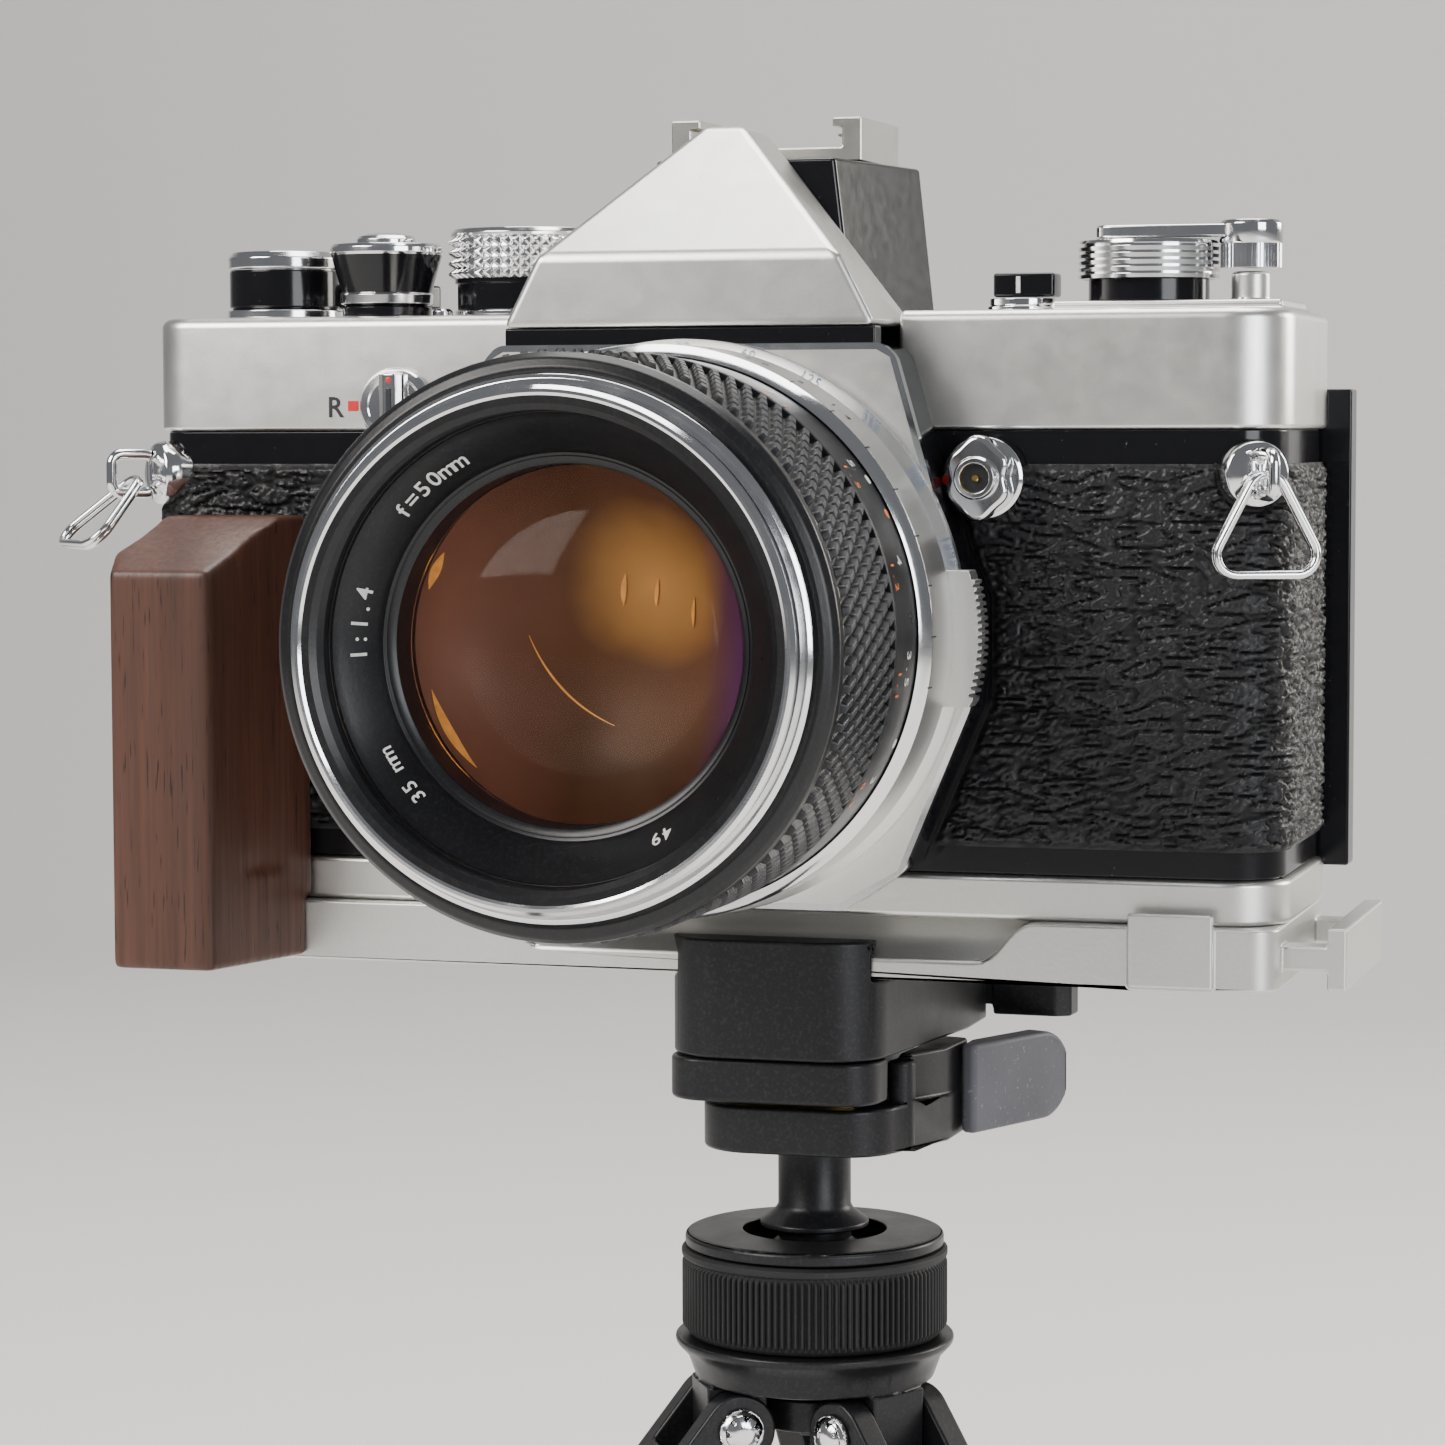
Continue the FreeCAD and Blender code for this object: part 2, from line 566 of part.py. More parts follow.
def shell_block(name, inset, low, high, back=None):
    """A block with the body shell's plan, inset all round, its front corners rounded."""
    inset = Size.of(inset)
    far = S.body_depth - inset if back is None else Size.of(back)
    half = S.half_width - inset
    body = slab(name, "XY_Plane", [(-half, inset), (half, inset), (half, far), (-half, far)],
                Size.of(high) - low, cam(S.shell_middle, 0, low))
    rounded(body, S.corner_radius - inset, Z_AXIS, lambda spot: spot.y < 5 and spot.x < 0)
    return rounded(body, S.right_corner_radius - inset, Z_AXIS, lambda spot: spot.y < 5 and spot.x > 0)


def panel_outline(shrink=0.0):
    """Front view of the lens panel and mirror box, from its top left corner round clockwise."""
    right = [(24.1 - shrink, 63.4), (30.3 - shrink, 41.7), (32.5 - shrink, 36.7), (32.6 - shrink, 24.6),
             (25 - shrink, 6.4), (18 - shrink, 1.7)]
    top = [(-22.6, 65.0 - shrink), (22.6, 65.0 - shrink)]
    left = [(-x, z) for x, z in reversed(right)]
    return top + right + left


def make_shell():
    casting = shell_block("casting_block", S.skin, S.bottom_height, S.skirt_z, back=29.5)
    rooms = [
        box("prism_room", cam(-19.4, -1, 13.6), cam(19.4, 24.1, S.skirt_z + 1)),
        box("film_gate", cam(-S.gate_half_width, 20, S.lens_height - S.gate_half_height),
            cam(S.gate_half_width, 32, S.lens_height + S.gate_half_height)),
        box("curtain_slot", cam(-30, 25.6, 16), cam(30, 27.0, 50.4)),
        box("cassette_room", cam(35.4, 6, 8.5), cam(63, 32, 52.5)),
        box("spool_room", cam(-65, 6, 8.5), cam(-34, 32, 52.5)),
        rod("screw_room", S.screw_radius + 0.2, 6, cam(0, 17, 2)),
        rod("rewind_way", 2.5, 20, cam(S.rewind_x, S.rewind_y, 45)),
        rod("wind_way", 2.5, 20, cam(S.wind_x, S.wind_y, 45)),
        rod("release_way", 2.3, 20, cam(S.release_x, S.release_y, 45)),
    ]
    lugs = [
        box("hinge_lug_low", cam(-69.6, 29.4, 5.1), cam(-65.6, 35.2, 7.6)),
        box("hinge_lug_high", cam(-69.6, 29.4, 52.2), cam(-65.6, 35.2, 54.7)),
    ]
    pin_way = rod("hinge_pin_way", 1.05, 60, cam(-67.3, 33.2, 2))
    keep("body_casting", cut("casting_cut", joined("casting_all", cut("casting_hollow", casting, *rooms),
                                                   *lugs), pin_way))
    keep("door_hinge_pin", rod("door_pin_body", 1.0, 48.8, cam(-67.3, 33.2, 5.5)))

    tray = shell_block("bottom_tray", 0, 0, S.bottom_height)
    hollow = box("tray_hollow", cam(-64, 3, S.wall), cam(59, 28, S.bottom_height + 1))
    screw_way = rod("tray_screw_way", S.screw_radius + 0.2, 10, cam(0, 17, -2))
    keep("bottom_cover", cut("tray_cut", tray, hollow, screw_way))

    block = shell_block("top_block", 0, S.skirt_z, S.shoulder_z)
    rounded(block, 1.3, X_AXIS, lambda spot: spot.z > 13 and spot.y < 5)
    raised = box("rewind_step", cam(38, 6, S.shoulder_z - 0.5), cam(64.3, 24, 69.8))
    rest = rod("crank_rest", 2.2, 3.8, cam(S.rewind_x + 11.7, S.rewind_y, 69.4))
    top = joined("top_solid", block, raised, rest)
    room = box("top_room", cam(-67, 3, 54), cam(61.5, 29.5, S.shoulder_z - S.wall))
    mouth = box("hump_mouth", cam(-21.9, -1, 54), cam(21.9, S.hump_back, 80))
    holes = [rod(f"top_hole_{name}", radius, 10, cam(x, y, 62)) for name, x, y, radius in (
        ("wind", S.wind_x, S.wind_y, 2.4), ("release", S.release_x, S.release_y, 2.2),
        ("dial", S.film_dial_x, S.film_dial_y, 2.4), ("rewind", S.rewind_x, S.rewind_y, 2.4),
        ("switch", S.switch_x, S.switch_y, 1.7))]
    front_hole = rod("top_hole_front", 1.7, 10, cam(S.rewind_release_x, -4, S.rewind_release_z), ALONG_Y)
    keep("top_cover", cut("top_cut", top, room, mouth, front_hole, *holes))


def make_leather():
    skins = []
    for side, sign in (("right", 1), ("left", -1)):
        outer = shell_block(f"leather_outer_{side}", 0, S.leather_low, S.leather_high, back=29.4)
        inner = shell_block(f"leather_inner_{side}", S.skin, 0, 60, back=40)
        half = [24.0 * sign, 73.0 * sign]
        window = box(f"leather_window_{side}", cam(min(half), -1, 0), cam(max(half), 40, 60))
        panel = slab(f"leather_notch_{side}", "XZ_Plane", panel_outline(-0.1), 12, cam(0, 4, 0))
        skin = common(f"leather_half_{side}", outer, window)
        lug_way = rod(f"leather_lug_way_{side}", 4.1, 20, on_lug(side, -10, S.strap_lug_z),
                      lug_turn(side).multiply(ALONG_X))
        skins.append(cut(f"leather_cut_{side}", skin, inner, panel, lug_way))
    pair = doc.addObject("Part::Compound", "leather_pair")
    pair.Links = skins
    keep("leather_skins", pair)


def make_door():
    leaf = box("door_leaf", cam(-64.4, 31.2, S.door_low), cam(68.6, 31.2 + S.door_thick, S.door_high))
    knuckle = rod("door_knuckle", 2.2, 44.2, cam(-67.3, 33.2, 7.8))
    web = box("door_web", cam(-67.3, 32.6, 7.8), cam(-64.4, 35.2, 52))
    pin_way = rod("door_pin_way", 1.06, 60, cam(-67.3, 33.2, 2))
    keep("back_door", cut("door_cut", joined("door_all", leaf, knuckle, web), pin_way))
    keep("pressure_plate", box("pressure_body", cam(-21, 29.8, 17), cam(21, 31.2, 49.5)))


def make_mirror_box():
    front = slab("mirror_front", "XZ_Plane", panel_outline(0.35), 9.25, cam(0, 0.65, 0))
    rounded(front, 2, Y_AXIS)
    mount_way = rod("mount_way", S.mount_bore, 8, cam(0, -11, S.lens_height), ALONG_Y)
    inner = box("mirror_inner", cam(-19.3, 0, 13.7), cam(19.3, 24, 54))
    cavity = box("mirror_cavity", cam(-17.6, -6, 15.2), cam(17.6, 25, 51.4))
    roof = box("screen_way", cam(-16.5, 3, 50), cam(16.5, 22, 56))
    low_clear = box("mirror_low_clear", cam(-40, -0.1, 0), cam(40, 2, S.bottom_height + 0.1))
    high_clear = box("mirror_high_clear", cam(-40, -0.1, S.skirt_z - 0.1), cam(40, 2, 70))
    keep("mirror_box", cut("mirror_cut", joined("mirror_all", front, inner), mount_way, cavity, roof,
                           low_clear, high_clear))
    panel = slab("panel_body", "XZ_Plane", panel_outline(), S.panel_thick,
                 cam(0, S.panel_front + S.panel_thick, 0))
    rounded(panel, 2.2, Y_AXIS)
    keep("front_panel", cut("panel_cut", panel, rod("panel_way", S.mount_bore, 8,
                                                    cam(0, -14, S.lens_height), ALONG_Y)))
    keep("reflex_mirror", slab("mirror_plate", "XY_Plane", [(-16, -25), (16, -25), (16, 0), (-16, 0)],
                               1.2, cam(0, 21.5, 48.5), FreeCAD.Rotation(X_AXIS, 45)))
    keep("pentaprism", slab("prism_body", "YZ_Plane", [
        (1.2, 54.2), (1.2, 68), (5, 78.5), (11, 78.5), (11, 54.2)], 16, cam(0, 0, 0), middle=True))
    keep("shutter_curtain", box("curtain_body", cam(-24, 26, 17), cam(24, 26.6, 49.4)))


def make_hump():
    base, crease, apex = S.hump_base_z.value, S.crease_z.value, S.apex_z.value
    front, back = S.hump_front.value, S.hump_back.value
    wide, mid, thin = S.hump_half.value, S.crease_half.value, S.apex_half.value

    def both(x, y, z):
        return FreeCAD.Vector(x, y, z), FreeCAD.Vector(-x, y, z)

    low, low_m = both(wide, front, base)
    bend, bend_m = both(mid, front, crease)
    peak, peak_m = both(thin, S.apex_front.value, apex)
    ridge, ridge_m = both(thin, back, apex)
    side, side_m = both(wide, 6, base)
    foot, foot_m = both(wide - 1.2, back, base)
    faces = [
        [low, bend, bend_m, low_m], [bend, peak, peak_m, bend_m], [peak, ridge, ridge_m, peak_m],
        [ridge, foot, foot_m, ridge_m], [low, low_m, side_m, side], [side, side_m, foot_m, foot],
        [low, side, bend], [bend, side, peak], [peak, side, ridge], [ridge, side, foot],
        [low_m, side_m, bend_m], [bend_m, side_m, peak_m], [peak_m, side_m, ridge_m],
        [ridge_m, side_m, foot_m]]
    outer = solid_from_faces("hump_outer", faces, cam(0, 0, 0))
    room = slab("hump_room", "YZ_Plane", [
        (-7, 60), (-7, 72), (1, 79.5), (11.8, 79.5), (11.8, 60)], 17.2, cam(0, 0, 0), middle=True)
    dial_room = rod("dial_room", S.film_dial_radius + 0.3, 20, cam(S.film_dial_x, S.film_dial_y, 68.6))
    keep("prism_cover", cut("hump_cut", outer, room, dial_room))
    top = S.housing_top_z.value
    deck = S.shoulder_z.value
    near, far = back + 0.1, S.housing_back.value
    a, am = both(13, near, deck)
    b, bm = both(10.8, near, top)
    c, cm = both(15, far, top)
    d, dm = both(17, far, deck)
    shell = solid_from_faces("housing_outer", [
        [a, b, bm, am], [b, c, cm, bm], [c, d, dm, cm], [d, a, am, dm],
        [a, d, c], [a, c, b], [am, dm, cm], [am, cm, bm]], cam(0, 0, 0))
    frame = box("eyepiece_frame", cam(-11.5, far - 0.5, deck + 0.6), cam(11.5, far + 1.6, deck + 15.4))
    tunnel = box("finder_tunnel", cam(-8, near - 1, deck + 2), cam(8, far + 3, deck + 14))
    keep("finder_housing", cut("housing_cut", joined("housing_all", shell, frame), tunnel))


def make_shoe():
    low = S.housing_top_z + 0.1
    outline = [(-11.75, 0), (11.75, 0), (11.75, 5.2), (8.2, 5.2), (8.2, 4.1), (9.35, 4.1), (9.35, 1.7),
               (-9.35, 1.7), (-9.35, 4.1), (-8.2, 4.1), (-8.2, 5.2), (-11.75, 5.2)]
    keep("accessory_shoe", slab("shoe_body", "XZ_Plane", outline, 18, cam(0, 40, low)))


# ---------------------------------------------------------------- lens

def lens_point(distance=0):
    return cam(0, distance, S.lens_height)


def make_lens():
    bore = S.mount_bore
    keep("body_mount", turned("body_mount_ring", [
        (21.2, -4.2), (bore - 0.1, -4.2), (bore - 0.1, S.base_back + 0.1), (21.2, S.base_back + 0.1)],
        lens_point(), "Y"))
    ring = turned("speed_ring", [
        (bore + 0.1, S.panel_front - 0.05), (bore + 0.1, -13.6), (30.4, -13.6),
        (S.speed_ring_radius, -11.6), (S.speed_ring_radius, S.panel_front - 0.05)], lens_point(), "Y")
    tab = slab("speed_tab_block", "XZ_Plane", [
        (26, -8.2), (33.3, -8.2), (34.3, -6), (34.8, 0), (34.3, 6), (33.3, 6.8), (26, 6.8)], 3.4,
        lens_point(S.panel_front - 0.1))
    keep("shutter_speed_ring", joined("speed_all", ring, tab))
    keep("lens_base", turned("lens_base_ring", [
        (19.4, -8.4), (21.0, -8.4), (21.0, S.base_back), (S.base_radius - 0.6, S.base_back),
        (S.base_radius, S.base_back - 0.6), (S.base_radius, S.base_front + 1),
        (S.base_radius - 0.7, S.base_front), (30.6, S.base_front), (30.6, -15.6), (23.4, -15.6),
        (23.4, -38), (21.9, -38), (21.9, -15.6), (19.4, -15.6)], lens_point(), "Y"))
    keep("focus_ring", turned("focus_body", [
        (24.6, -27.2), (24.6, S.focus_front), (29.6, S.focus_front), (S.focus_radius, -53.6),
        (S.focus_radius, -35), (30.2, -34.6), (30.2, S.focus_back), (28.6, S.focus_back),
        (28.6, -27.2)], lens_point(), "Y"))
    keep("aperture_ring", turned("aperture_body", [
        (26.6, -54.8), (26.6, -57.3), (28.6, S.aperture_front), (29.6, -57.2), (S.aperture_radius, -56.4),
        (S.aperture_radius, -54.8)], lens_point(), "Y"))
    keep("front_barrel", turned("barrel_body", [
        (20.2, -30), (20.2, -47.6), (18.8, -47.6), (18.8, -52), (24.0, -57.4), (26.4, -57.4),
        (26.4, -54.7), (24.3, -54.7), (24.3, -49), (21.8, -46.5), (21.8, -30)], lens_point(), "Y"))
    keep("filter_ring", turned("filter_body", [
        (24.1, -57.5), (S.filter_thread, -57.9), (S.filter_thread, -60.7), (25, S.filter_front),
        (26.3, S.filter_front), (S.filter_radius, -60.7), (S.filter_radius, -59.6), (26.6, -59.2),
        (S.nose_radius, -58.7), (S.nose_radius, -57.9), (27.5, -57.9), (26.4, -57.5)], lens_point(), "Y"))
    keep("front_glass", turned("front_glass_body", [
        (0, -53.6), (6, -53.2), (12, -51.9), (16, -50.1), (18.6, -48.4), (18.6, -47.7), (0, -47.7)],
        lens_point(), "Y"))
    keep("rear_glass", turned("rear_glass_body", [
        (0, -11.6), (8, -12.4), (14, -14), (19.2, -14), (19.2, -18), (0, -18)], lens_point(), "Y"))


# ---------------------------------------------------------------- controls

def make_wind_side():
    deck = S.shoulder_z + 0.1
    wind = cam(S.wind_x, S.wind_y, 0)
    disc = turned("wind_disc", [
        (0, 58), (2.2, 58), (2.2, deck), (S.wind_radius, deck), (S.wind_radius, 76.0),
        (S.wind_radius - 0.6, 77.0), (0, 77.0)], wind)
    arm = slab("wind_arm", "XY_Plane", [
        (0, 3.4), (4.6, 4.8), (13.6, 12.6), (14.6, 15.4), (13.0, 17.0), (9.6, 16.2), (-3, 6)], 3.4,
        cam(S.wind_x, S.wind_y, 70.0))
    keep("wind_lever", joined("wind_all", disc, arm))
    release = cam(S.release_x, S.release_y, 0)
    keep("release_collar", turned("collar_body", [
        (3.9, deck), (5.3, deck), (5.3, 70.6), (6.7, 76.4), (6.5, 77.5), (3.9, 77.5)], release))
    keep("shutter_button", turned("button_body", [
        (0, 62), (2.0, 62), (2.0, 71.6), (S.release_radius, 71.6), (S.release_radius, 77.8),
        (2.9, 78.4), (0, 78.1)], release))
    keep("film_speed_dial", turned("film_dial_body", [
        (0, 63), (2.2, 63), (2.2, deck), (8.7, deck), (8.7, 72.6), (S.film_dial_radius, 73),
        (S.film_dial_radius, 78.6), (8.9, 79.2), (0, 79.2)],
        cam(S.film_dial_x, S.film_dial_y, 0)))
    spool = turned("spool_body", [
        (0, 9), (7.5, 9), (7.5, 10.4), (5.6, 10.4), (5.6, 50.6), (7.5, 50.6), (7.5, 52), (0, 52)],
        cam(-54, 17, 0))
    sprocket = turned("sprocket_body", [
        (0, 9), (4.4, 9), (4.4, 14), (3.4, 15), (3.4, 46), (4.4, 47), (4.4, 52), (0, 52)],
        cam(-40, 21, 0))
    rollers = doc.addObject("Part::Compound", "roller_pair")
    rollers.Links = [spool, sprocket]
    keep("film_rollers", rollers)


def make_rewind_side():
    deck = S.shoulder_z + 0.1
    rewind = cam(S.rewind_x, S.rewind_y, 0)
    keep("rewind_knob", turned("rewind_knob_body", [
        (0, 46), (2.2, 46), (2.2, 70.0), (6.8, 70.0), (6.8, 72.2), (S.rewind_radius - 0.4, 72.3),
        (S.rewind_radius, 72.7), (S.rewind_radius, 76.4), (0, 76.4)], rewind))
    crank_arm = slab("crank_arm", "XY_Plane", [
        (-5.9, -3), (3, -3), (12.4, -2.2), (12.4, 2.2), (3, 3), (-5.9, 3)], 1.6,
        cam(S.rewind_x, S.rewind_y, 77.0))
    handle = rod("crank_handle", 3.4, 3.6, cam(S.rewind_x + 11.7, S.rewind_y, 73.5))
    keep("rewind_crank", joined("crank_all", crank_arm, handle))
    spot = cam(S.switch_x, S.switch_y, 0)
    disc = turned("switch_disc", [(0, 64), (1.5, 64), (1.5, deck), (3.8, deck), (3.8, 70.4), (0, 70.4)], spot)
    lever = box("switch_lever", cam(S.switch_x - 3, S.switch_y - 2.2, 70.4),
                cam(S.switch_x + 4.1, S.switch_y + 2.2, 73.2))
    keep("meter_switch", joined("switch_all", disc, lever))


def make_front_controls():
    keep("rewind_release", turned("rewind_release_body", [
        (0, 5), (1.5, 5), (1.5, -0.1), (4.3, -0.1), (4.3, -2.6), (3.8, -3.2), (0, -3.2)],
        cam(S.rewind_release_x, 0, S.rewind_release_z), "Y"))
    barrel = turned("sync_barrel", [
        (1.6, -0.1), (4.1, -0.1), (4.1, -6.0), (3.4, -6.4), (1.6, -6.4)],
        cam(S.sync_x, 0, S.sync_z), "Y")
    ears = box("sync_ears", cam(S.sync_x - 2.2, -2.4, S.sync_z - 5.8),
               cam(S.sync_x + 2.2, -0.1, S.sync_z + 5.8))
    socket = rod("sync_hole", 1.6, 10, cam(S.sync_x, -8, S.sync_z), ALONG_Y)
    keep("sync_socket", cut("sync_cut", joined("sync_all", barrel, ears), socket))


# Each strap lug: where its axis leaves the shell, and the way it points, in degrees from +X.
STRAP_LUGS = {"right": (61.85, 1.26, -62), "left": (-68.4, 1.8, 225)}


def on_lug(side, reach, z):
    """A point on a strap lug's axis, at a distance out from the shell."""
    x, y, azimuth = STRAP_LUGS[side]
    angle = math.radians(azimuth)
    return cam(x + reach * math.cos(angle), y + reach * math.sin(angle), z)


def lug_turn(side):
    return about_z(STRAP_LUGS[side][2])


def make_strap_parts():
    lugs = []
    for side in STRAP_LUGS:
        turn = lug_turn(side)
        at = on_lug(side, 0, S.strap_lug_z)
        stub = turned(f"lug_stub_{side}", [
            (-4, 0), (-4, 3.4), (0.8, 3.9), (1.8, 3.6), (2.6, 1.8), (2.6, 0)], at, "X")
        place(stub, at, turn)
        seat = shell_block(f"lug_seat_{side}", S.skin - 0.05, 40, 60)
        reach = S.eye_reach
        eye = bar_path(f"lug_eye_{side}", [FreeCAD.Vector(*corner) for corner in (
            (2.0, 0, reach.value), (7.4, 0, reach.value), (7.4, 0, -reach.value), (2.0, 0, -reach.value))],
            0.65, 1.3, at, turn)
        lugs.append(joined(f"strap_lug_{side}", cut(f"lug_body_{side}", stub, seat), eye))
    group = doc.addObject("Part::Compound", "strap_lug_pair")
    group.Links = lugs
    keep("strap_lugs", group)


def make_rings():
    """Split rings: a rounded triangle of wire, its apex round the lower bar of each eyelet."""
    corners = [FreeCAD.Vector(0, y, z) for y, z in ((0, 4.72), (-7.2, -8.7), (7.2, -8.7))]
    for side, out, tilt in (("right", 4.8, 0), ("left", 5.85, 46)):
        turn = lug_turn(side).multiply(FreeCAD.Rotation(Y_AXIS, -tilt))
        keep(f"strap_ring_{side}", bar_path(f"ring_{side}_wire", corners, 0.75, 2.2,
                                            on_lug(side, out, S.strap_lug_z - S.eye_reach), turn))


# ---------------------------------------------------------------- build and write

def check_and_write():
    doc.recompute()
    for obj in doc.Objects:
        if "Invalid" in obj.State or "Error" in obj.State:
            raise RuntimeError(f"{obj.Label} did not recompute: {obj.State}")
    os.makedirs("parts", exist_ok=True)
    for node, obj in parts.items():
        shape = obj.Shape
        if shape.isNull() or not shape.isValid() or shape.Volume <= 0:
            raise RuntimeError(f"{node} has no valid solid")
        shape.exportStep(f"parts/{node}.step")
        print(f"{node}: {len(shape.Solids)} solid, {shape.Volume:.1f} mm3")


make_crown()
for leg_name, leg_azimuth in LEG_AZIMUTHS.items():
    make_leg(leg_name, leg_azimuth)
make_hinge_pins()
make_ball_head()
make_head()
make_clamp()
make_plate()
make_grip()
make_shell()
make_leather()
make_door()
make_mirror_box()
make_hump()
make_shoe()
make_lens()
make_wind_side()
make_rewind_side()
make_front_controls()
make_strap_parts()
make_rings()
check_and_write()
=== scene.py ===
"""A 35 mm film camera on a small ball-head tripod: the looks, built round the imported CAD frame.

Lengths below are millimetres in the camera's own frame unless a name says otherwise: x to the
right as one faces the lens and 0 on the lens axis, y backwards from the front of the body shell,
z up from the underside of the bottom cover. cam() turns such a place into metres in the row frame.
"""

import json
import math
from contextlib import contextmanager

import bmesh
import bpy
import numpy as np
from mathutils import Matrix, Vector

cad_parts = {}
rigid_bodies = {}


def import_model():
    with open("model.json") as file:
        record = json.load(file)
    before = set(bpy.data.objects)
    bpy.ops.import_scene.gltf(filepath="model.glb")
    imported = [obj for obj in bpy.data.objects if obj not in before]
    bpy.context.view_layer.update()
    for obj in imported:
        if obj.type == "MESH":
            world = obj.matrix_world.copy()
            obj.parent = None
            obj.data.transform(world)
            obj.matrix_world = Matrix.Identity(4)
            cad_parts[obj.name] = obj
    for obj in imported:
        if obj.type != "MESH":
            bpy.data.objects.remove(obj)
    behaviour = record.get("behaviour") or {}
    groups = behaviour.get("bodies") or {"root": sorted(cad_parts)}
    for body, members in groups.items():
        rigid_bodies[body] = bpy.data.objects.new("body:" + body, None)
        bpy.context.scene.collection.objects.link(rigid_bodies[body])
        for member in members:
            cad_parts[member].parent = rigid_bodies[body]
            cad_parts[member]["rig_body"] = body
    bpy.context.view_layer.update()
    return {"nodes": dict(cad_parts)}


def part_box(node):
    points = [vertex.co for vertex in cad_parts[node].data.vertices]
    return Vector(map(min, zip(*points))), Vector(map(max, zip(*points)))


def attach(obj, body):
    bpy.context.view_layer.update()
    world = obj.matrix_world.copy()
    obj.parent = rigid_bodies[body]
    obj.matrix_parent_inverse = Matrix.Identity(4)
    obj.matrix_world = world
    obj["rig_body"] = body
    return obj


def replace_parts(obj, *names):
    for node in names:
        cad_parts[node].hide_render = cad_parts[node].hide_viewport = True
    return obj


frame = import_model()
MM = 0.001
BODY_OF = {node: obj["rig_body"] for node, obj in frame["nodes"].items()}


def middle(node):
    low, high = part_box(node)
    return (low + high) / 2


ORIGIN = Vector((middle("filter_ring").x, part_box("bottom_cover")[0].y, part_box("bottom_cover")[0].z))
LENS_Z = (middle("filter_ring").z - ORIGIN.z) / MM


def cam(x, y, z):
    """A place in the camera's own frame, turned into the row frame."""
    return ORIGIN + Vector((x, y, z)) * MM


def local_box(node):
    """A node's lowest and highest corners in the camera's own frame, in millimetres."""
    low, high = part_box(node)
    return (low - ORIGIN) / MM, (high - ORIGIN) / MM


# ---------------------------------------------------------------- materials

class Finish:
    """A Principled material, with helpers that add the procedural detail."""

    def __init__(self, name, color, roughness, metallic=0.0, **sockets):
        self.material = bpy.data.materials.new(name)
        self.material.use_nodes = True
        self.tree = self.material.node_tree
        self.shader = self.tree.nodes["Principled BSDF"]
        self.shader.inputs["Base Color"].default_value = (*color, 1)
        self.shader.inputs["Roughness"].default_value = roughness
        self.shader.inputs["Metallic"].default_value = metallic
        for socket, value in sockets.items():
            self.shader.inputs[socket.replace("_", " ")].default_value = value
        self.place = self.tree.nodes.new("ShaderNodeTexCoord").outputs["Object"]
        self.height = None

    def node(self, kind, inputs=None, **settings):
        made = self.tree.nodes.new(kind)
        for key, value in settings.items():
            setattr(made, key, value)
        for key, value in (inputs or {}).items():
            if isinstance(value, bpy.types.NodeSocket):
                self.tree.links.new(value, made.inputs[key])
            else:
                made.inputs[key].default_value = value
        return made

    def noise(self, scale, detail=3.0, roughness=0.55, along=None, distortion=0.0):
        """Cloudy noise, stretched by the three factors of along when they are given."""
        place = self.place
        if along:
            mapping = self.node("ShaderNodeMapping", {"Vector": place, "Scale": along})
            place = mapping.outputs["Vector"]
        return self.node("ShaderNodeTexNoise", {
            "Vector": place, "Scale": scale, "Detail": detail, "Roughness": roughness,
            "Distortion": distortion}).outputs["Fac"]

    def math(self, operation, first, second):
        made = self.node("ShaderNodeMath", {0: first, 1: second}, operation=operation)
        return made.outputs["Value"]

    def ramp(self, value, stops):
        """value turned into a colour or grey through (position, colour) stops."""
        made = self.node("ShaderNodeValToRGB", {"Fac": value})
        elements = made.color_ramp.elements
        while len(elements) < len(stops):
            elements.new(0.5)
        for element, (position, color) in zip(elements, stops):
            element.position = position
            element.color = (*color, 1) if isinstance(color, tuple) else (color, color, color, 1)
        return made.outputs["Color"]

    def spread(self, value, low, high, start=0.3, end=0.7):
        """value between start and end, which holds most of a noise, spread from low to high."""
        return self.node("ShaderNodeMapRange", {
            "Value": value, "From Min": start, "From Max": end, "To Min": low,
            "To Max": high}).outputs["Result"]

    def mix(self, amount, first, second):
        made = self.node("ShaderNodeMix", data_type="RGBA")
        sockets = {s.identifier: s for s in made.inputs}
        values = {"Factor_Float": amount, "A_Color": first, "B_Color": second}
        for identifier, value in values.items():
            if isinstance(value, bpy.types.NodeSocket):
                self.tree.links.new(value, sockets[identifier])
            elif isinstance(value, tuple):
                sockets[identifier].default_value = (*value, 1)
            else:
                sockets[identifier].default_value = value
        return next(s for s in made.outputs if s.identifier == "Result_Color")

    def paint(self, color_socket):
        self.tree.links.new(color_socket, self.shader.inputs["Base Color"])

    def gloss(self, roughness_socket):
        self.tree.links.new(roughness_socket, self.shader.inputs["Roughness"])

    def bump(self, height, distance, strength=1.0):
        """A layer of relief, distance in millimetres, over those already there."""
        made = self.node("ShaderNodeBump", {
            "Height": height, "Distance": distance * MM, "Strength": strength})
        if self.height is not None:
            self.tree.links.new(self.height, made.inputs["Normal"])
        self.height = made.outputs["Normal"]
        self.tree.links.new(self.height, self.shader.inputs["Normal"])

    def attribute(self, name):
        return self.node("ShaderNodeAttribute", attribute_name=name).outputs["Fac"]


def scaled(color, factor):
    return tuple(min(1.0, channel * factor) for channel in color)


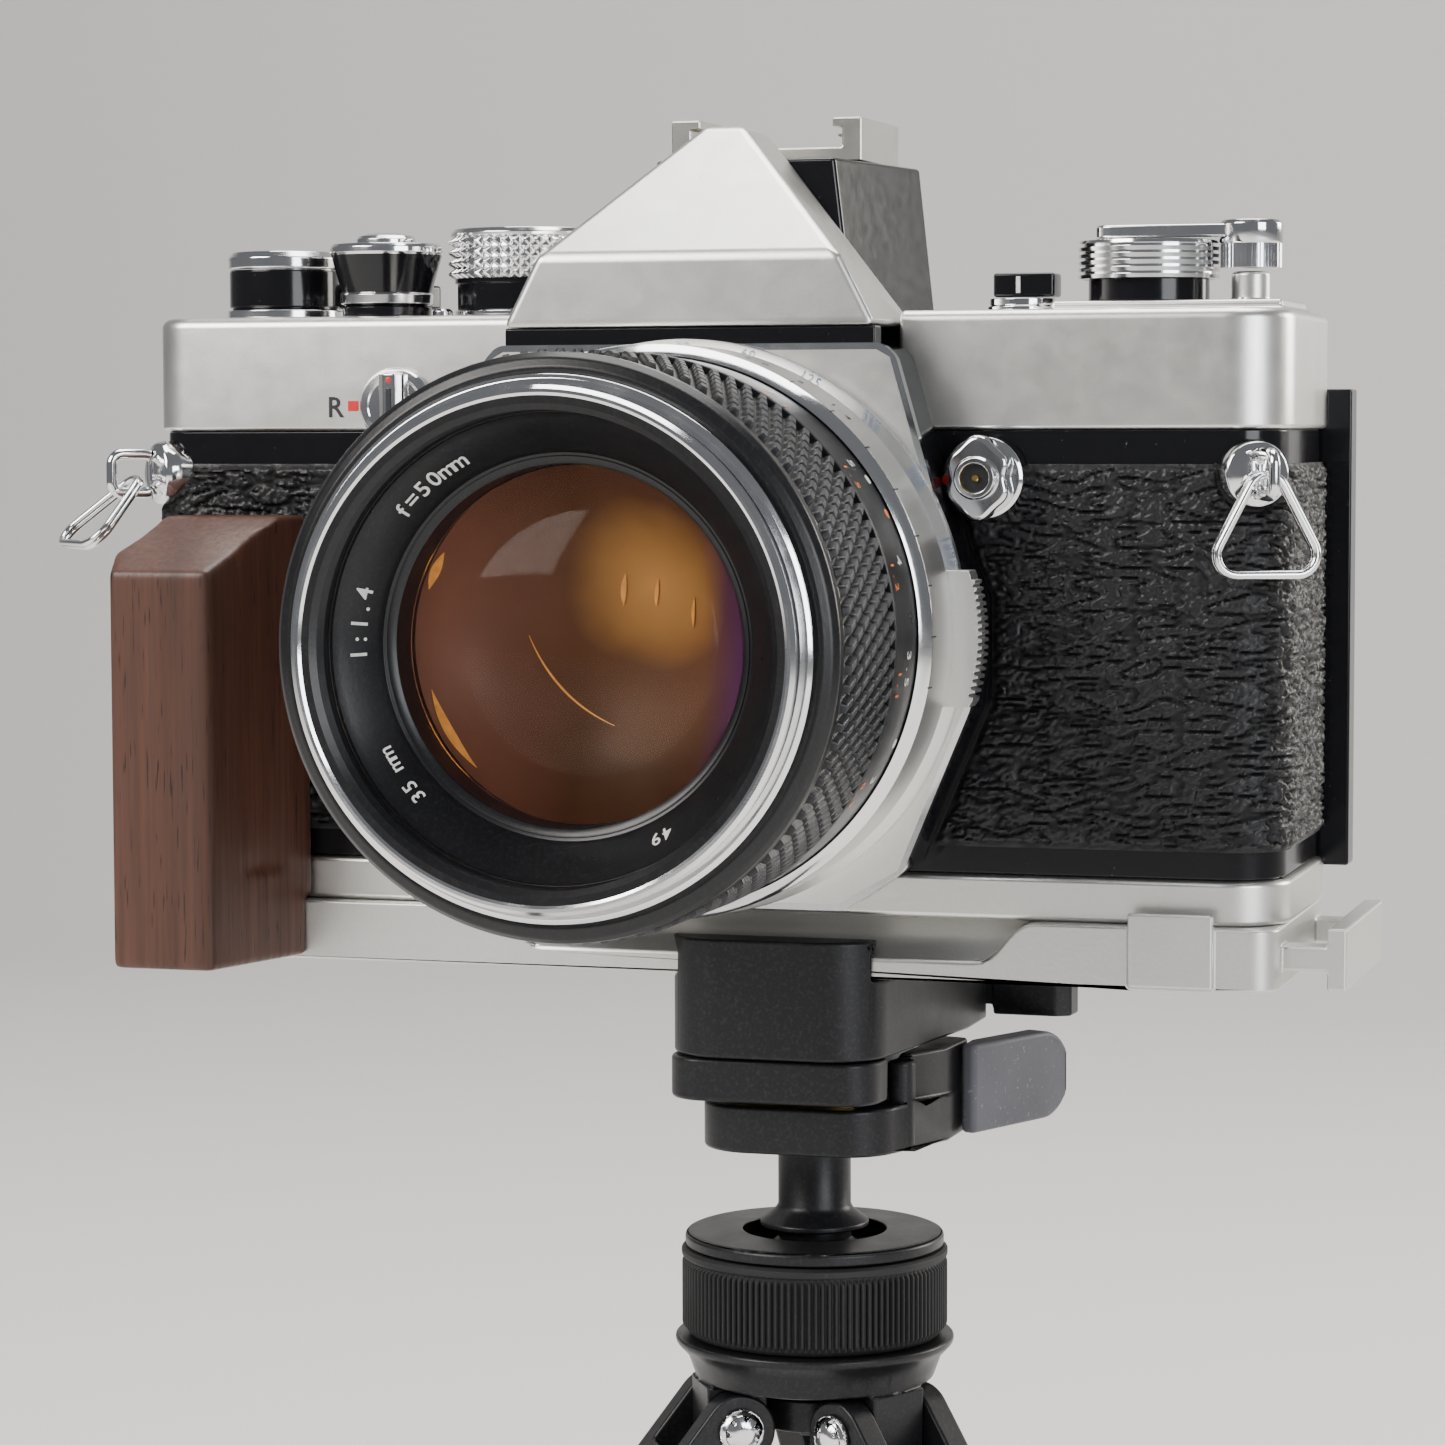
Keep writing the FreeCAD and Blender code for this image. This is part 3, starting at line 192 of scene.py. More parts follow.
def satin_metal(name, color, roughness, grain=2600.0, relief=0.012):
    """Bead-blasted, plated or anodised metal: soft grain, faint handling marks."""
    finish = Finish(name, color, roughness, 1.0)
    cloud = finish.noise(38.0, 4.0)
    fine = finish.noise(grain * 1.6, 2.0, 0.7)
    warm = tuple(c * f for c, f in zip(color, (1.0, 0.99, 0.965)))
    toned = finish.mix(finish.spread(cloud, 0.0, 1.0), scaled(warm, 0.975), scaled(color, 1.01))
    finish.paint(finish.mix(finish.spread(fine, 0.0, 0.35), toned, scaled(color, 0.82)))
    finish.gloss(finish.spread(finish.noise(300.0, 5.0, 0.6), roughness - 0.02, roughness + 0.03))
    finish.bump(finish.noise(grain, 2.0, 0.6), relief, 0.5)
    return finish.material


def polished_metal(name, color=(0.86, 0.86, 0.87), roughness=0.07):
    """Polished plating with faint smudges and hairlines."""
    finish = Finish(name, color, roughness, 1.0)
    smudge = finish.noise(160.0, 5.0, 0.62, distortion=0.6)
    finish.gloss(finish.spread(smudge, roughness * 0.6, roughness + 0.12))
    finish.paint(finish.mix(finish.spread(smudge, 0.0, 1.0), color, scaled(color, 0.94)))
    finish.bump(finish.noise(900.0, 2.0, 0.5, along=(1, 1, 6)), 0.004, 0.35)
    return finish.material


def black_gloss(name):
    """Stoved black enamel: slight orange peel, dust specks and a wiped sheen."""
    color, roughness = (0.006, 0.006, 0.0075), 0.15
    finish = Finish(name, color, roughness, 0.0, Specular_IOR_Level=0.32, Coat_Weight=0.10,
                    Coat_Roughness=0.06)
    dust = finish.ramp(finish.noise(1500.0, 2.0, 0.7), [(0.72, 0.0), (0.77, 1.0)])
    finish.paint(finish.mix(dust, color, (0.08, 0.08, 0.085)))
    finish.gloss(finish.spread(finish.noise(700.0, 4.0, 0.6), roughness - 0.02, roughness + 0.03))
    finish.bump(finish.noise(420.0, 2.0, 0.5), 0.003, 0.3)
    return finish.material


def black_anodised(name, color=(0.010, 0.010, 0.0115), roughness=0.36, metallic=0.3):
    """Satin black anodising whose blasted grain sparkles along highlights."""
    finish = Finish(name, color, roughness, metallic, Specular_IOR_Level=0.38)
    speck = finish.ramp(finish.noise(2400.0, 2.0, 0.7), [(0.50, 0.0), (0.72, 1.0)])
    finish.paint(finish.mix(speck, color, scaled(color, 2.2)))
    finish.gloss(finish.spread(finish.noise(200.0, 5.0, 0.6), roughness - 0.03, roughness + 0.05))
    finish.bump(finish.noise(2400.0, 2.0, 0.7), 0.020, 0.55)
    return finish.material


def worn_black(name):
    """Black lens barrel paint, grey on the crests of its grip pattern: partly wear, partly a painted
    highlight where the crests catch the light.
    """
    finish = Finish(name, (0.016, 0.016, 0.018), 0.40, 0.1, Specular_IOR_Level=0.35)
    crest = finish.attribute("crest")
    patchy = finish.noise(55.0, 5.0, 0.6)
    # grey in patches on the crests: wear and a painted highlight together
    worn = finish.math("MULTIPLY", crest, finish.spread(patchy, 0.25, 0.9))
    finish.paint(finish.mix(worn, (0.006, 0.006, 0.007), (0.060, 0.060, 0.066)))
    finish.gloss(finish.spread(finish.noise(160.0, 4.0), 0.34, 0.50))
    finish.bump(finish.noise(1800.0, 2.0), 0.012, 0.5)
    return finish.material


def rubber(name, color, roughness=0.62):
    """Moulded rubber with dust caught in its grain."""
    finish = Finish(name, color, roughness, 0.0, Specular_IOR_Level=0.36)
    dust = finish.ramp(finish.noise(1700.0, 3.0, 0.7), [(0.62, 0.0), (0.78, 1.0)])
    cloud = finish.noise(45.0, 4.0)
    base = finish.mix(finish.spread(cloud, 0.0, 1.0), scaled(color, 0.8), scaled(color, 1.25))
    finish.paint(finish.mix(dust, base, scaled(color, 3.2)))
    finish.gloss(finish.spread(finish.noise(85.0, 4.0), roughness - 0.08, roughness + 0.12))
    finish.bump(finish.noise(1300.0, 3.0, 0.65), 0.03, 0.6)
    return finish.material


def leather(name):
    """Black embossed covering: fine pores over the wrinkles that the mesh carries, with shade painted
    into the creases and highlight onto the pebbles.
    """
    finish = Finish(name, (0.012, 0.012, 0.014), 0.42, 0.0, Specular_IOR_Level=0.34)
    crest = finish.attribute("crest")
    # painted shade and highlight: darker in the creases, lighter on the crests of the pebbles
    finish.paint(finish.mix(crest, (0.0025, 0.0025, 0.003), (0.010, 0.010, 0.0115)))
    finish.gloss(finish.spread(crest, 0.66, 0.36, 0.0, 1.0))
    pores = finish.node("ShaderNodeTexVoronoi", {"Vector": finish.place, "Scale": 1900.0})
    finish.bump(pores.outputs["Distance"], 0.07, 0.5)
    finish.bump(finish.noise(1100.0, 4.0, 0.6, along=(1.0, 1.0, 1.6)), 0.09, 0.6)
    return finish.material


def walnut(name):
    """Oiled walnut, its grain running up the grip, with dark open pores."""
    finish = Finish(name, (0.13, 0.055, 0.035), 0.42, 0.0, Specular_IOR_Level=0.34,
                    Coat_Weight=0.12, Coat_Roughness=0.32)
    bands = finish.noise(85.0, 4.0, 0.6, along=(1.0, 1.0, 0.06), distortion=0.7)
    fibre = finish.noise(1500.0, 3.0, 0.6, along=(1.0, 1.0, 0.03))
    pores = finish.ramp(finish.noise(4200.0, 1.0, 0.4, along=(1.0, 1.0, 0.055)),
                        [(0.66, 0.0), (0.74, 1.0)])
    tone = finish.ramp(bands, [
        (0.28, (0.050, 0.020, 0.012)), (0.45, (0.086, 0.035, 0.022)), (0.60, (0.112, 0.046, 0.029)),
        (0.75, (0.066, 0.027, 0.017))])
    streaked = finish.mix(finish.spread(fibre, 0.0, 0.65), tone, (0.036, 0.014, 0.009))
    finish.paint(finish.mix(pores, streaked, (0.018, 0.008, 0.006)))
    finish.gloss(finish.spread(fibre, 0.36, 0.52))
    finish.bump(fibre, 0.02, 0.5)
    finish.bump(finish.math("SUBTRACT", 1.0, pores), 0.03, 0.5)
    return finish.material


def plain_paint(name, color, roughness=0.45):
    """Fill paint in engraved marks, uneven as if wiped in; the same paint also draws the gold painted
    reflections in the lens.
    """
    finish = Finish(name, color, roughness)
    uneven = finish.spread(finish.noise(900.0, 3.0), 0.0, 1.0)
    finish.paint(finish.mix(uneven, scaled(color, 0.72), color))
    finish.bump(finish.noise(1500.0, 2.0), 0.01, 0.4)
    return finish.material


def coated_glass(name):
    """Multi-coated glass: clear, with little reflection and a warm cast."""
    finish = Finish(name, (1.0, 0.90, 0.80), 0.0, 0.0, Transmission_Weight=1.0, IOR=1.14)
    finish.gloss(finish.spread(finish.noise(60.0, 5.0, 0.6), 0.0, 0.015))
    return finish.material


def coating_glow(name, edge, reflection_core, rim, left_reflection):
    """Coated surfaces deep in the lens, coloured with a painted reflection: a gold highlight off
    centre, brown round it, violet at one side and mauve brown at the other.
    """
    # where the painted gold reflection is brightest, and how far it spreads
    reflection_spot, reflection_reach = (4.0, 5.5), 20.0  # millimetres, right of and above the lens axis
    finish = Finish(name, reflection_core, 0.42, 0.0, Specular_IOR_Level=0.16)
    centre = cam(0, 0, LENS_Z)
    across = finish.node("ShaderNodeSeparateXYZ", {"Vector": finish.place})
    reflection_x = finish.math("SUBTRACT", across.outputs["X"], centre.x + reflection_spot[0] * MM)
    reflection_z = finish.math("SUBTRACT", across.outputs["Z"], centre.z + reflection_spot[1] * MM)
    flat = finish.node("ShaderNodeCombineXYZ", {"X": reflection_x, "Y": reflection_z})
    away = finish.node("ShaderNodeVectorMath", {0: flat.outputs["Vector"]}, operation="LENGTH")
    reach = finish.math("DIVIDE", away.outputs["Value"], reflection_reach * MM)
    wavy = finish.math("ADD", reach, finish.spread(finish.noise(95.0, 2.0, 0.5), -0.05, 0.05))
    disc = finish.ramp(wavy, [(0.0, reflection_core), (0.24, scaled(reflection_core, 0.62)), (0.46, edge),
                              (0.95, scaled(edge, 0.42))])
    # painted reflections at the sides: mauve brown towards the left, violet at the right
    left_reflected = finish.mix(finish.spread(reflection_x, 0.0, 0.75, -7.0 * MM, -20.0 * MM), disc, left_reflection)
    finish.paint(finish.mix(finish.spread(reflection_x, 0.0, 1.0, 6.0 * MM, 12.5 * MM), left_reflected, rim))
    finish.gloss(finish.spread(finish.noise(120.0, 3.0), 0.38, 0.46))
    return finish.material


# each look: its material, and the CAD record's slot that it stands for
LOOKS = {
    "satin_silver": (satin_metal, "satin_silver", (0.79, 0.785, 0.765), 0.34),
    "plate_silver": (satin_metal, "satin_silver", (0.70, 0.695, 0.68), 0.40, 1900.0, 0.025),
    "bright_chrome": (polished_metal, "bright_chrome"),
    "nickel": (satin_metal, "nickel", (0.68, 0.66, 0.62), 0.24, 3200.0, 0.006),
    "steel": (polished_metal, "steel", (0.55, 0.55, 0.56), 0.16),
    "spring_steel": (satin_metal, "nickel", (0.34, 0.26, 0.20), 0.30),
    "brass": (polished_metal, "brass", (0.80, 0.55, 0.20), 0.16),
    "black_gloss": (black_gloss, "black_gloss"),
    "anodised": (black_anodised, "black_alloy"),
    "lens_black": (black_anodised, "black_alloy", (0.006, 0.006, 0.007), 0.30, 0.0),
    "deep_black": (black_anodised, "black_enamel", (0.006, 0.006, 0.007), 0.55, 0.0),
    "worn_black": (worn_black, "black_alloy"),
    "rubber": (rubber, "rubber", (0.010, 0.010, 0.011)),
    "grey_rubber": (rubber, "grey_rubber", (0.085, 0.085, 0.100), 0.52),
    "leather": (leather, "leather"),
    "walnut": (walnut, "walnut"),
    "white_paint": (plain_paint, "satin_silver", (0.78, 0.77, 0.74)),
    "orange_paint": (plain_paint, "black_enamel", (0.80, 0.22, 0.05)),
    "red_paint": (plain_paint, "black_enamel", (0.72, 0.02, 0.015)),
    "blue_paint": (plain_paint, "black_enamel", (0.10, 0.22, 0.55)),
    "ink": (plain_paint, "black_enamel", (0.015, 0.016, 0.022)),
    "front_glass": (coated_glass, "glass"),
    # painted reflection of the lens coatings: gold highlight, brown surround, violet and mauve sides
    "amber": (coating_glow, "glass", (0.120, 0.058, 0.036), (0.62, 0.36, 0.13),
              (0.062, 0.020, 0.13), (0.22, 0.105, 0.085)),
    # painted reflection: gold arcs of light on the coated surface inside the lens
    "gold_glint": (plain_paint, "glass", (1.0, 0.50, 0.13), 0.25),
}
MATERIALS = {look: maker(look, *values) for look, (maker, _, *values) in LOOKS.items()}


# ---------------------------------------------------------------- mesh tools

def add_object(name, data):
    obj = bpy.data.objects.new(name, data)
    bpy.context.scene.collection.objects.link(obj)
    return obj


@contextmanager
def editing(data):
    """A mesh opened for bmesh operators and written back at the end."""
    work = bmesh.new()
    work.from_mesh(data)
    yield work
    work.to_mesh(data)
    work.free()


def piece(name, vertices, faces, node, looks, smooth=35.0, looks_of_face=None):
    """A mesh in the row frame that rides with a CAD node. looks is one material name or several."""
    names = [looks] if isinstance(looks, str) else list(looks)
    data = bpy.data.meshes.new(name)
    data.from_pydata([tuple(v) for v in vertices], [], [tuple(f) for f in faces])
    for look in names:
        data.materials.append(MATERIALS[look])
    if looks_of_face is not None:
        data.polygons.foreach_set("material_index", looks_of_face)
    data.validate()
    obj = add_object(name, data)
    smooth_by_angle(data, smooth)
    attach(obj, BODY_OF[node])
    return obj


def smooth_by_angle(data, degrees):
    with editing(data) as work:
        bmesh.ops.recalc_face_normals(work, faces=work.faces)
        for face in work.faces:
            face.smooth = True
        for edge in work.edges:
            if len(edge.link_faces) == 2:
                edge.smooth = edge.calc_face_angle(0.0) < math.radians(degrees)


def soften(obj, width, segments=2, degrees=28.0):
    """Rounded edges, width in millimetres."""
    bevel = obj.modifiers.new("rounded edges", "BEVEL")
    bevel.width = width * MM
    bevel.segments = segments
    bevel.limit_method = "ANGLE"
    bevel.angle_limit = math.radians(degrees)
    bevel.use_clamp_overlap = False
    bevel.harden_normals = True
    bevel.miter_outer = "MITER_ARC"


def skin(node, look, width=0.25, segments=2):
    """A finished copy of a CAD node: flat faces made whole and edges rounded over."""
    same_place, same_plane, sharp = 2e-6, math.radians(0.6), 28.0
    work = bmesh.new()
    work.from_mesh(frame["nodes"][node].data)
    bmesh.ops.remove_doubles(work, verts=work.verts, dist=same_place)
    bmesh.ops.dissolve_limit(work, angle_limit=same_plane, verts=work.verts, edges=work.edges,
                             delimit={"NORMAL"})
    data = bpy.data.meshes.new(f"{node}_finished")
    work.to_mesh(data)
    work.free()
    data.materials.clear()
    data.materials.append(MATERIALS[look])
    for polygon in data.polygons:
        polygon.material_index = 0
    obj = add_object(data.name, data)
    smooth_by_angle(data, sharp)
    if width:
        soften(obj, width, segments, sharp)
    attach(obj, BODY_OF[node])
    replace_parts(obj, node)
    return obj


def axis_frame(direction):
    """Two unit vectors across a direction: for the lens, right and up as seen from the front."""
    if abs(direction.y) > 0.9:
        return Vector((1, 0, 0)), Vector((0, 0, 1))
    return Vector((1, 0, 0)), Vector((0, 1, 0))


def lathe(name, profile, centre, direction, node, looks, steps=160, edge=0.12, bands=None,
          replace=False):
    """A turned piece. profile is (radius, distance along direction) in millimetres; bands gives the
    look of each profile run, as indexes into looks."""
    across, up = axis_frame(direction)
    count = len(profile)
    vertices = []
    for step in range(steps):
        angle = 2 * math.pi * step / steps
        out = across * math.cos(angle) + up * math.sin(angle)
        for radius, along in profile:
            vertices.append(centre + out * (radius * MM) + direction * (along * MM))
    faces = []
    looks_of_face = []
    for step in range(steps):
        here, there = step * count, ((step + 1) % steps) * count
        for run in range(count):
            nxt = (run + 1) % count
            faces.append((here + run, here + nxt, there + nxt, there + run))
            looks_of_face.append(bands[run] if bands else 0)
    obj = piece(name, vertices, faces, node, looks, 30.0, looks_of_face)
    with editing(obj.data) as work:
        bmesh.ops.remove_doubles(work, verts=work.verts, dist=1e-7)
        bmesh.ops.recalc_face_normals(work, faces=work.faces)
    if edge:
        soften(obj, edge, 2, 25.0)
    if replace:
        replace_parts(obj, node)


def prism(name, outline, depth, place, node, look, edge=0.2, segments=2, replace=False):
    """An outline (u, v) given thickness; place turns (u, v, w) in millimetres into the frame."""
    count = len(outline)
    vertices = [place(u, v, 0.0) for u, v in outline] + [place(u, v, depth) for u, v in outline]
    faces = [tuple(range(count)), tuple(range(2 * count - 1, count - 1, -1))]
    faces += [(i, (i + 1) % count, count + (i + 1) % count, count + i) for i in range(count)]
    obj = piece(name, vertices, faces, node, look)
    if edge:
        soften(obj, edge, segments)
    if replace:
        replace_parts(obj, node)


def block(name, low, high, node, look, edge=0.2):
    """A small rounded block between two corners in the camera's own frame."""
    outline = [(low[0], low[1]), (high[0], low[1]), (high[0], high[1]), (low[0], high[1])]
    prism(name, outline, high[2] - low[2], lambda u, v, w: cam(u, v, low[2] + w), node, look, edge)


def tube(name, path, radius, node, look):
    """A round wire along a closed path of points in the row frame; it replaces its node."""
    count, sides = len(path), 14
    vertices, faces = [], []
    normal = None
    for index, point in enumerate(path):
        heading = (path[(index + 1) % count] - path[index - 1]).normalized()
        if normal is None:
            normal = heading.orthogonal().normalized()
        normal = (normal - heading * normal.dot(heading)).normalized()
        side = heading.cross(normal)
        for turn in range(sides):
            angle = 2 * math.pi * turn / sides
            out = normal * math.cos(angle) + side * math.sin(angle)
            vertices.append(point + out * radius * MM)
    for index in range(count):
        here, there = index * sides, ((index + 1) % count) * sides
        for turn in range(sides):
            nxt = (turn + 1) % sides
            faces.append((here + turn, here + nxt, there + nxt, there + turn))
    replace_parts(piece(name, vertices, faces, node, look, 60.0), node)


def rounded_loop(corners, bend, steps=7):
    """A closed path through corners, each rounded to a bend radius in the same units."""
    path = []
    count = len(corners)
    for index, corner in enumerate(corners):
        before = (corners[index - 1] - corner).normalized()
        after = (corners[(index + 1) % count] - corner).normalized()
        half = before.angle(after) / 2
        centre = corner + (before + after).normalized() * (bend / math.sin(half))
        start = corner + before * (bend / math.tan(half)) - centre
        end = corner + after * (bend / math.tan(half)) - centre
        for step in range(steps + 1):
            path.append(centre + start.slerp(end, step / steps).normalized() * bend)
    return path


def gradient_noise(x, y, seed):
    """Smooth random relief between about -0.7 and 0.7, the same on every run."""
    table = np.random.RandomState(seed)
    shuffle = table.permutation(256)
    turns = table.rand(256) * 2 * math.pi
    cell_x, cell_y = np.floor(x).astype(int), np.floor(y).astype(int)
    inner_x, inner_y = x - cell_x, y - cell_y

    def corner(step_x, step_y):
        key = shuffle[(shuffle[(cell_x + step_x) % 256] + cell_y + step_y) % 256]
        return np.cos(turns[key]) * (inner_x - step_x) + np.sin(turns[key]) * (inner_y - step_y)

    ease_x = inner_x ** 3 * (inner_x * (inner_x * 6 - 15) + 10)
    ease_y = inner_y ** 3 * (inner_y * (inner_y * 6 - 15) + 10)
    low = corner(0, 0) * (1 - ease_x) + corner(1, 0) * ease_x
    high = corner(0, 1) * (1 - ease_x) + corner(1, 1) * ease_x
    return low * (1 - ease_y) + high * ease_y


def smoothstep(value, low, high):
    t = np.clip((value - low) / (high - low), 0.0, 1.0)
    return t * t * (3 - 2 * t)


def grid_piece(name, points, crest, node, look, wrap=False, smooth=60.0, replace=False):
    """A surface from a rows x columns x 3 array of points, with a crest attribute at each."""
    rows, columns = points.shape[:2]
    index = np.arange(rows * columns).reshape(rows, columns)
    right = np.roll(index, -1, axis=1)
    if not wrap:
        index, right = index[:, :-1], right[:, :-1]
    faces = np.stack([index[:-1], right[:-1], right[1:], index[1:]], axis=-1).reshape(-1, 4)
    obj = piece(name, points.reshape(-1, 3), faces.tolist(), node, look, smooth)
    attribute = obj.data.attributes.new("crest", "FLOAT", "POINT")
    attribute.data.foreach_set("value", crest.reshape(-1).astype(np.float32))
    if replace:
        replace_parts(obj, node)


def turned_grip(name, height_at, crest_at, start, end, rows, columns, centre, direction, node, look,
                inner, replace=False):
    """A turned surface with relief: height_at(angle, along) is its radius, in millimetres. Its ends
    close down to the inner radius."""
    across, up = axis_frame(direction)
    angle = np.linspace(0, 2 * math.pi, columns, endpoint=False)[None, :]
    along = np.linspace(start, end, rows)[:, None]
    angle, along = np.broadcast_arrays(angle, along)
    radius = height_at(angle, along)
    crest = crest_at(angle, along)
    radius, along, angle, crest = cap_rows(radius, along, angle, crest, inner)
    points = (np.array(centre)[None, None] + (
        np.array(across)[None, None] * (np.cos(angle) * radius)[..., None]
        + np.array(up)[None, None] * (np.sin(angle) * radius)[..., None]
        + np.array(direction)[None, None] * along[..., None]) * MM)
    grid_piece(name, points, crest, node, look, True, 40.0, replace)


def cap_rows(radius, along, angle, crest, inner):
    """Adds a ring of points at an inner radius to the first and last rows, closing the ends."""
    first, last = np.full_like(radius[:1], inner), np.full_like(radius[-1:], inner)
    return (np.concatenate([first, radius, last]), np.concatenate([along[:1], along, along[-1:]]),
            np.concatenate([angle[:1], angle, angle[-1:]]),
            np.concatenate([crest[:1] * 0, crest, crest[-1:] * 0]))


def tooth(phase, flat=0.45, ramp=0.3):
    """A flat-topped wave of period 1: 1 on the crest, 0 in the groove."""
    distance = np.abs((phase % 1.0) - 0.5) * 2
    return 1 - smoothstep(distance, flat, flat + ramp)


# ---------------------------------------------------------------- lettering

def glyph(character, size):
    """The flat outline mesh of one character, centred, in millimetres."""
    curve = bpy.data.curves.new("glyph", "FONT")
    curve.body = character
    curve.size = size
    curve.align_x = "CENTER"
    curve.resolution_u = 3
    curve.offset = size * 0.012
    holder = add_object("glyph", curve)
    bpy.context.view_layer.update()
    graph = bpy.context.evaluated_depsgraph_get()
    data = bpy.data.meshes.new_from_object(holder.evaluated_get(graph))
    vertices = [vertex.co.copy() for vertex in data.vertices]
    faces = [tuple(polygon.vertices) for polygon in data.polygons]
    bpy.data.objects.remove(holder)
    bpy.data.curves.remove(curve)
    bpy.data.meshes.remove(data)
    return vertices, faces


def lettering(name, marks, node, look):
    """One mesh of many characters. marks holds (text, size, place): place turns (u, v) into the row
    frame, u along the line of text and v up the letters."""
    letter_width, letter_middle = 0.62, 0.35  # shares of the size
    vertices, faces = [], []
    for text, size, place in marks:
        advance = size * letter_width
        start = -advance * (len(text) - 1) / 2
        for index, character in enumerate(text):
            if character == " ":
                continue
            points, shapes = glyph(character, size)
            base = len(vertices)
            vertices += [place(start + advance * index + p.x, p.y - size * letter_middle)
                         for p in points]
            faces += [tuple(base + i for i in shape) for shape in shapes]
    piece(name, vertices, faces, node, look)


def lens_spot(angle, radius, along):
    """A place round the lens axis: angle clockwise from the top as seen from the front, degrees."""
    turn = math.radians(angle)
    return cam(radius * math.sin(turn), along, LENS_Z + radius * math.cos(turn))


# ---------------------------------------------------------------- tripod and head

def finish_cad_pieces():
    """CAD pieces whose own shape is right, given rounded edges and a finish."""
    looks = {
        "anodised": (("crown", 0.35), ("leg_right", 0.4), ("leg_left", 0.4), ("leg_back", 0.4),
                     ("ball", 0.1), ("ball_cap", 0.3), ("stem", 0.2), ("pan_lever", 0.45),
                     ("pan_housing", 0.5), ("clamp_body", 0.4), ("clamp_jaw", 0.4),
                     ("clamp_lever", 0.3)),
        "deep_black": (("ball_seat", 0.2), ("pressure_plate", 0.1), ("shutter_curtain", 0.0)),
        "rubber": (("foot_right", 0.4), ("foot_left", 0.4), ("foot_back", 0.4)),
        "grey_rubber": (("pan_paddle", 0.6),),
        "bright_chrome": (("leg_hinge_pins", 0.5), ("front_panel", 0.0), ("body_mount", 0.2),
                          ("strap_lugs", 0.25)),
        "brass": (("brass_washer", 0.1),),
        "plate_silver": (("base_plate", 0.35),),
        "steel": (("camera_screw", 0.2), ("door_hinge_pin", 0.1), ("reflex_mirror", 0.0)),
        "satin_silver": (("bottom_cover", 0.7), ("top_cover", 0.5), ("prism_cover", 0.9)),
        "black_gloss": (("body_casting", 0.3), ("mirror_box", 0.3), ("finder_housing", 0.5),
                        ("film_rollers", 0.1)),
        "nickel": (("accessory_shoe", 0.22),),
        "front_glass": (("pentaprism", 0.1),),
    }
    for look, nodes in looks.items():
        for node, width in nodes:
            skin(node, look, width, 3 if width > 0.3 else 2)


def make_lock_ring():
    low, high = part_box("lock_ring")
    centre = Vector((0, 0, low.z))
    height = (high.z - low.z) / MM
    radius = (high.x - low.x) / 2 / MM
    ribs = 124

    def radius_at(angle, along):
        rib = tooth(angle * ribs / (2 * math.pi), 0.35, 0.4)
        ends = smoothstep(along, 0.5, 1.1) * (1 - smoothstep(along, height - 1.9, height - 1.3))
        return radius - 0.55 + 0.5 * rib * ends - 0.35 * (1 - smoothstep(along, 0.0, 0.5))

    def crest_at(angle, along):
        return tooth(angle * ribs / (2 * math.pi), 0.3, 0.3)

    turned_grip("lock_ring_ribs", radius_at, crest_at, 0.0, height - 1.2, 46, ribs * 8, centre,
                Vector((0, 0, 1)), "lock_ring", "rubber", 12.6, True)
    lathe("lock_ring_rim", [(12.7, -1.1), (radius - 0.1, -1.1), (radius, -0.9), (radius, -0.3),
                            (radius - 0.4, 0.0), (12.7, 0.0)],
          centre + Vector((0, 0, height * MM)), Vector((0, 0, 1)), "lock_ring", "rubber",
          160, 0.08)


# ---------------------------------------------------------------- body covering

# (z, half width) of the front panel, from its foot to its top
PANEL_EDGE = [(0.0, 18.0), (1.7, 18.0), (6.4, 25.0), (24.6, 32.6), (36.7, 32.5), (41.7, 30.3),
              (63.4, 24.1), (65.0, 22.6)]
LEATHER_EDGE = 0.9  # the covering thins over this width at its borders, in millimetres


def fade_in(*distances):
    """1 inside a piece of covering and 0 at its borders, from the distances to them."""
    share = smoothstep(distances[0], 0.0, LEATHER_EDGE)
    for distance in distances[1:]:
        share = share * smoothstep(distance, 0.0, LEATHER_EDGE)
    return share


def shell_path(half_width, corner, back):
    """Distance along the shell from the lens axis, with place and outward direction at each."""
    front_steps, corner_steps, side_steps = 160, 24, 40
    flat = half_width - corner
    spots = [(flat * step / front_steps, 0.0, 0.0, -1.0) for step in range(front_steps + 1)]
    for step in range(1, corner_steps + 1):
        turn = math.radians(90 * step / corner_steps)
        spots.append((flat + corner * math.sin(turn), corner - corner * math.cos(turn),
                      math.sin(turn), -math.cos(turn)))
    for step in range(1, side_steps + 1):
        spots.append((half_width, corner + (back - corner) * step / side_steps, 1.0, 0.0))
    spots = np.array(spots)
    reach = np.concatenate([[0.0], np.cumsum(np.hypot(*np.diff(spots[:, :2], axis=0).T))])
    return reach, spots


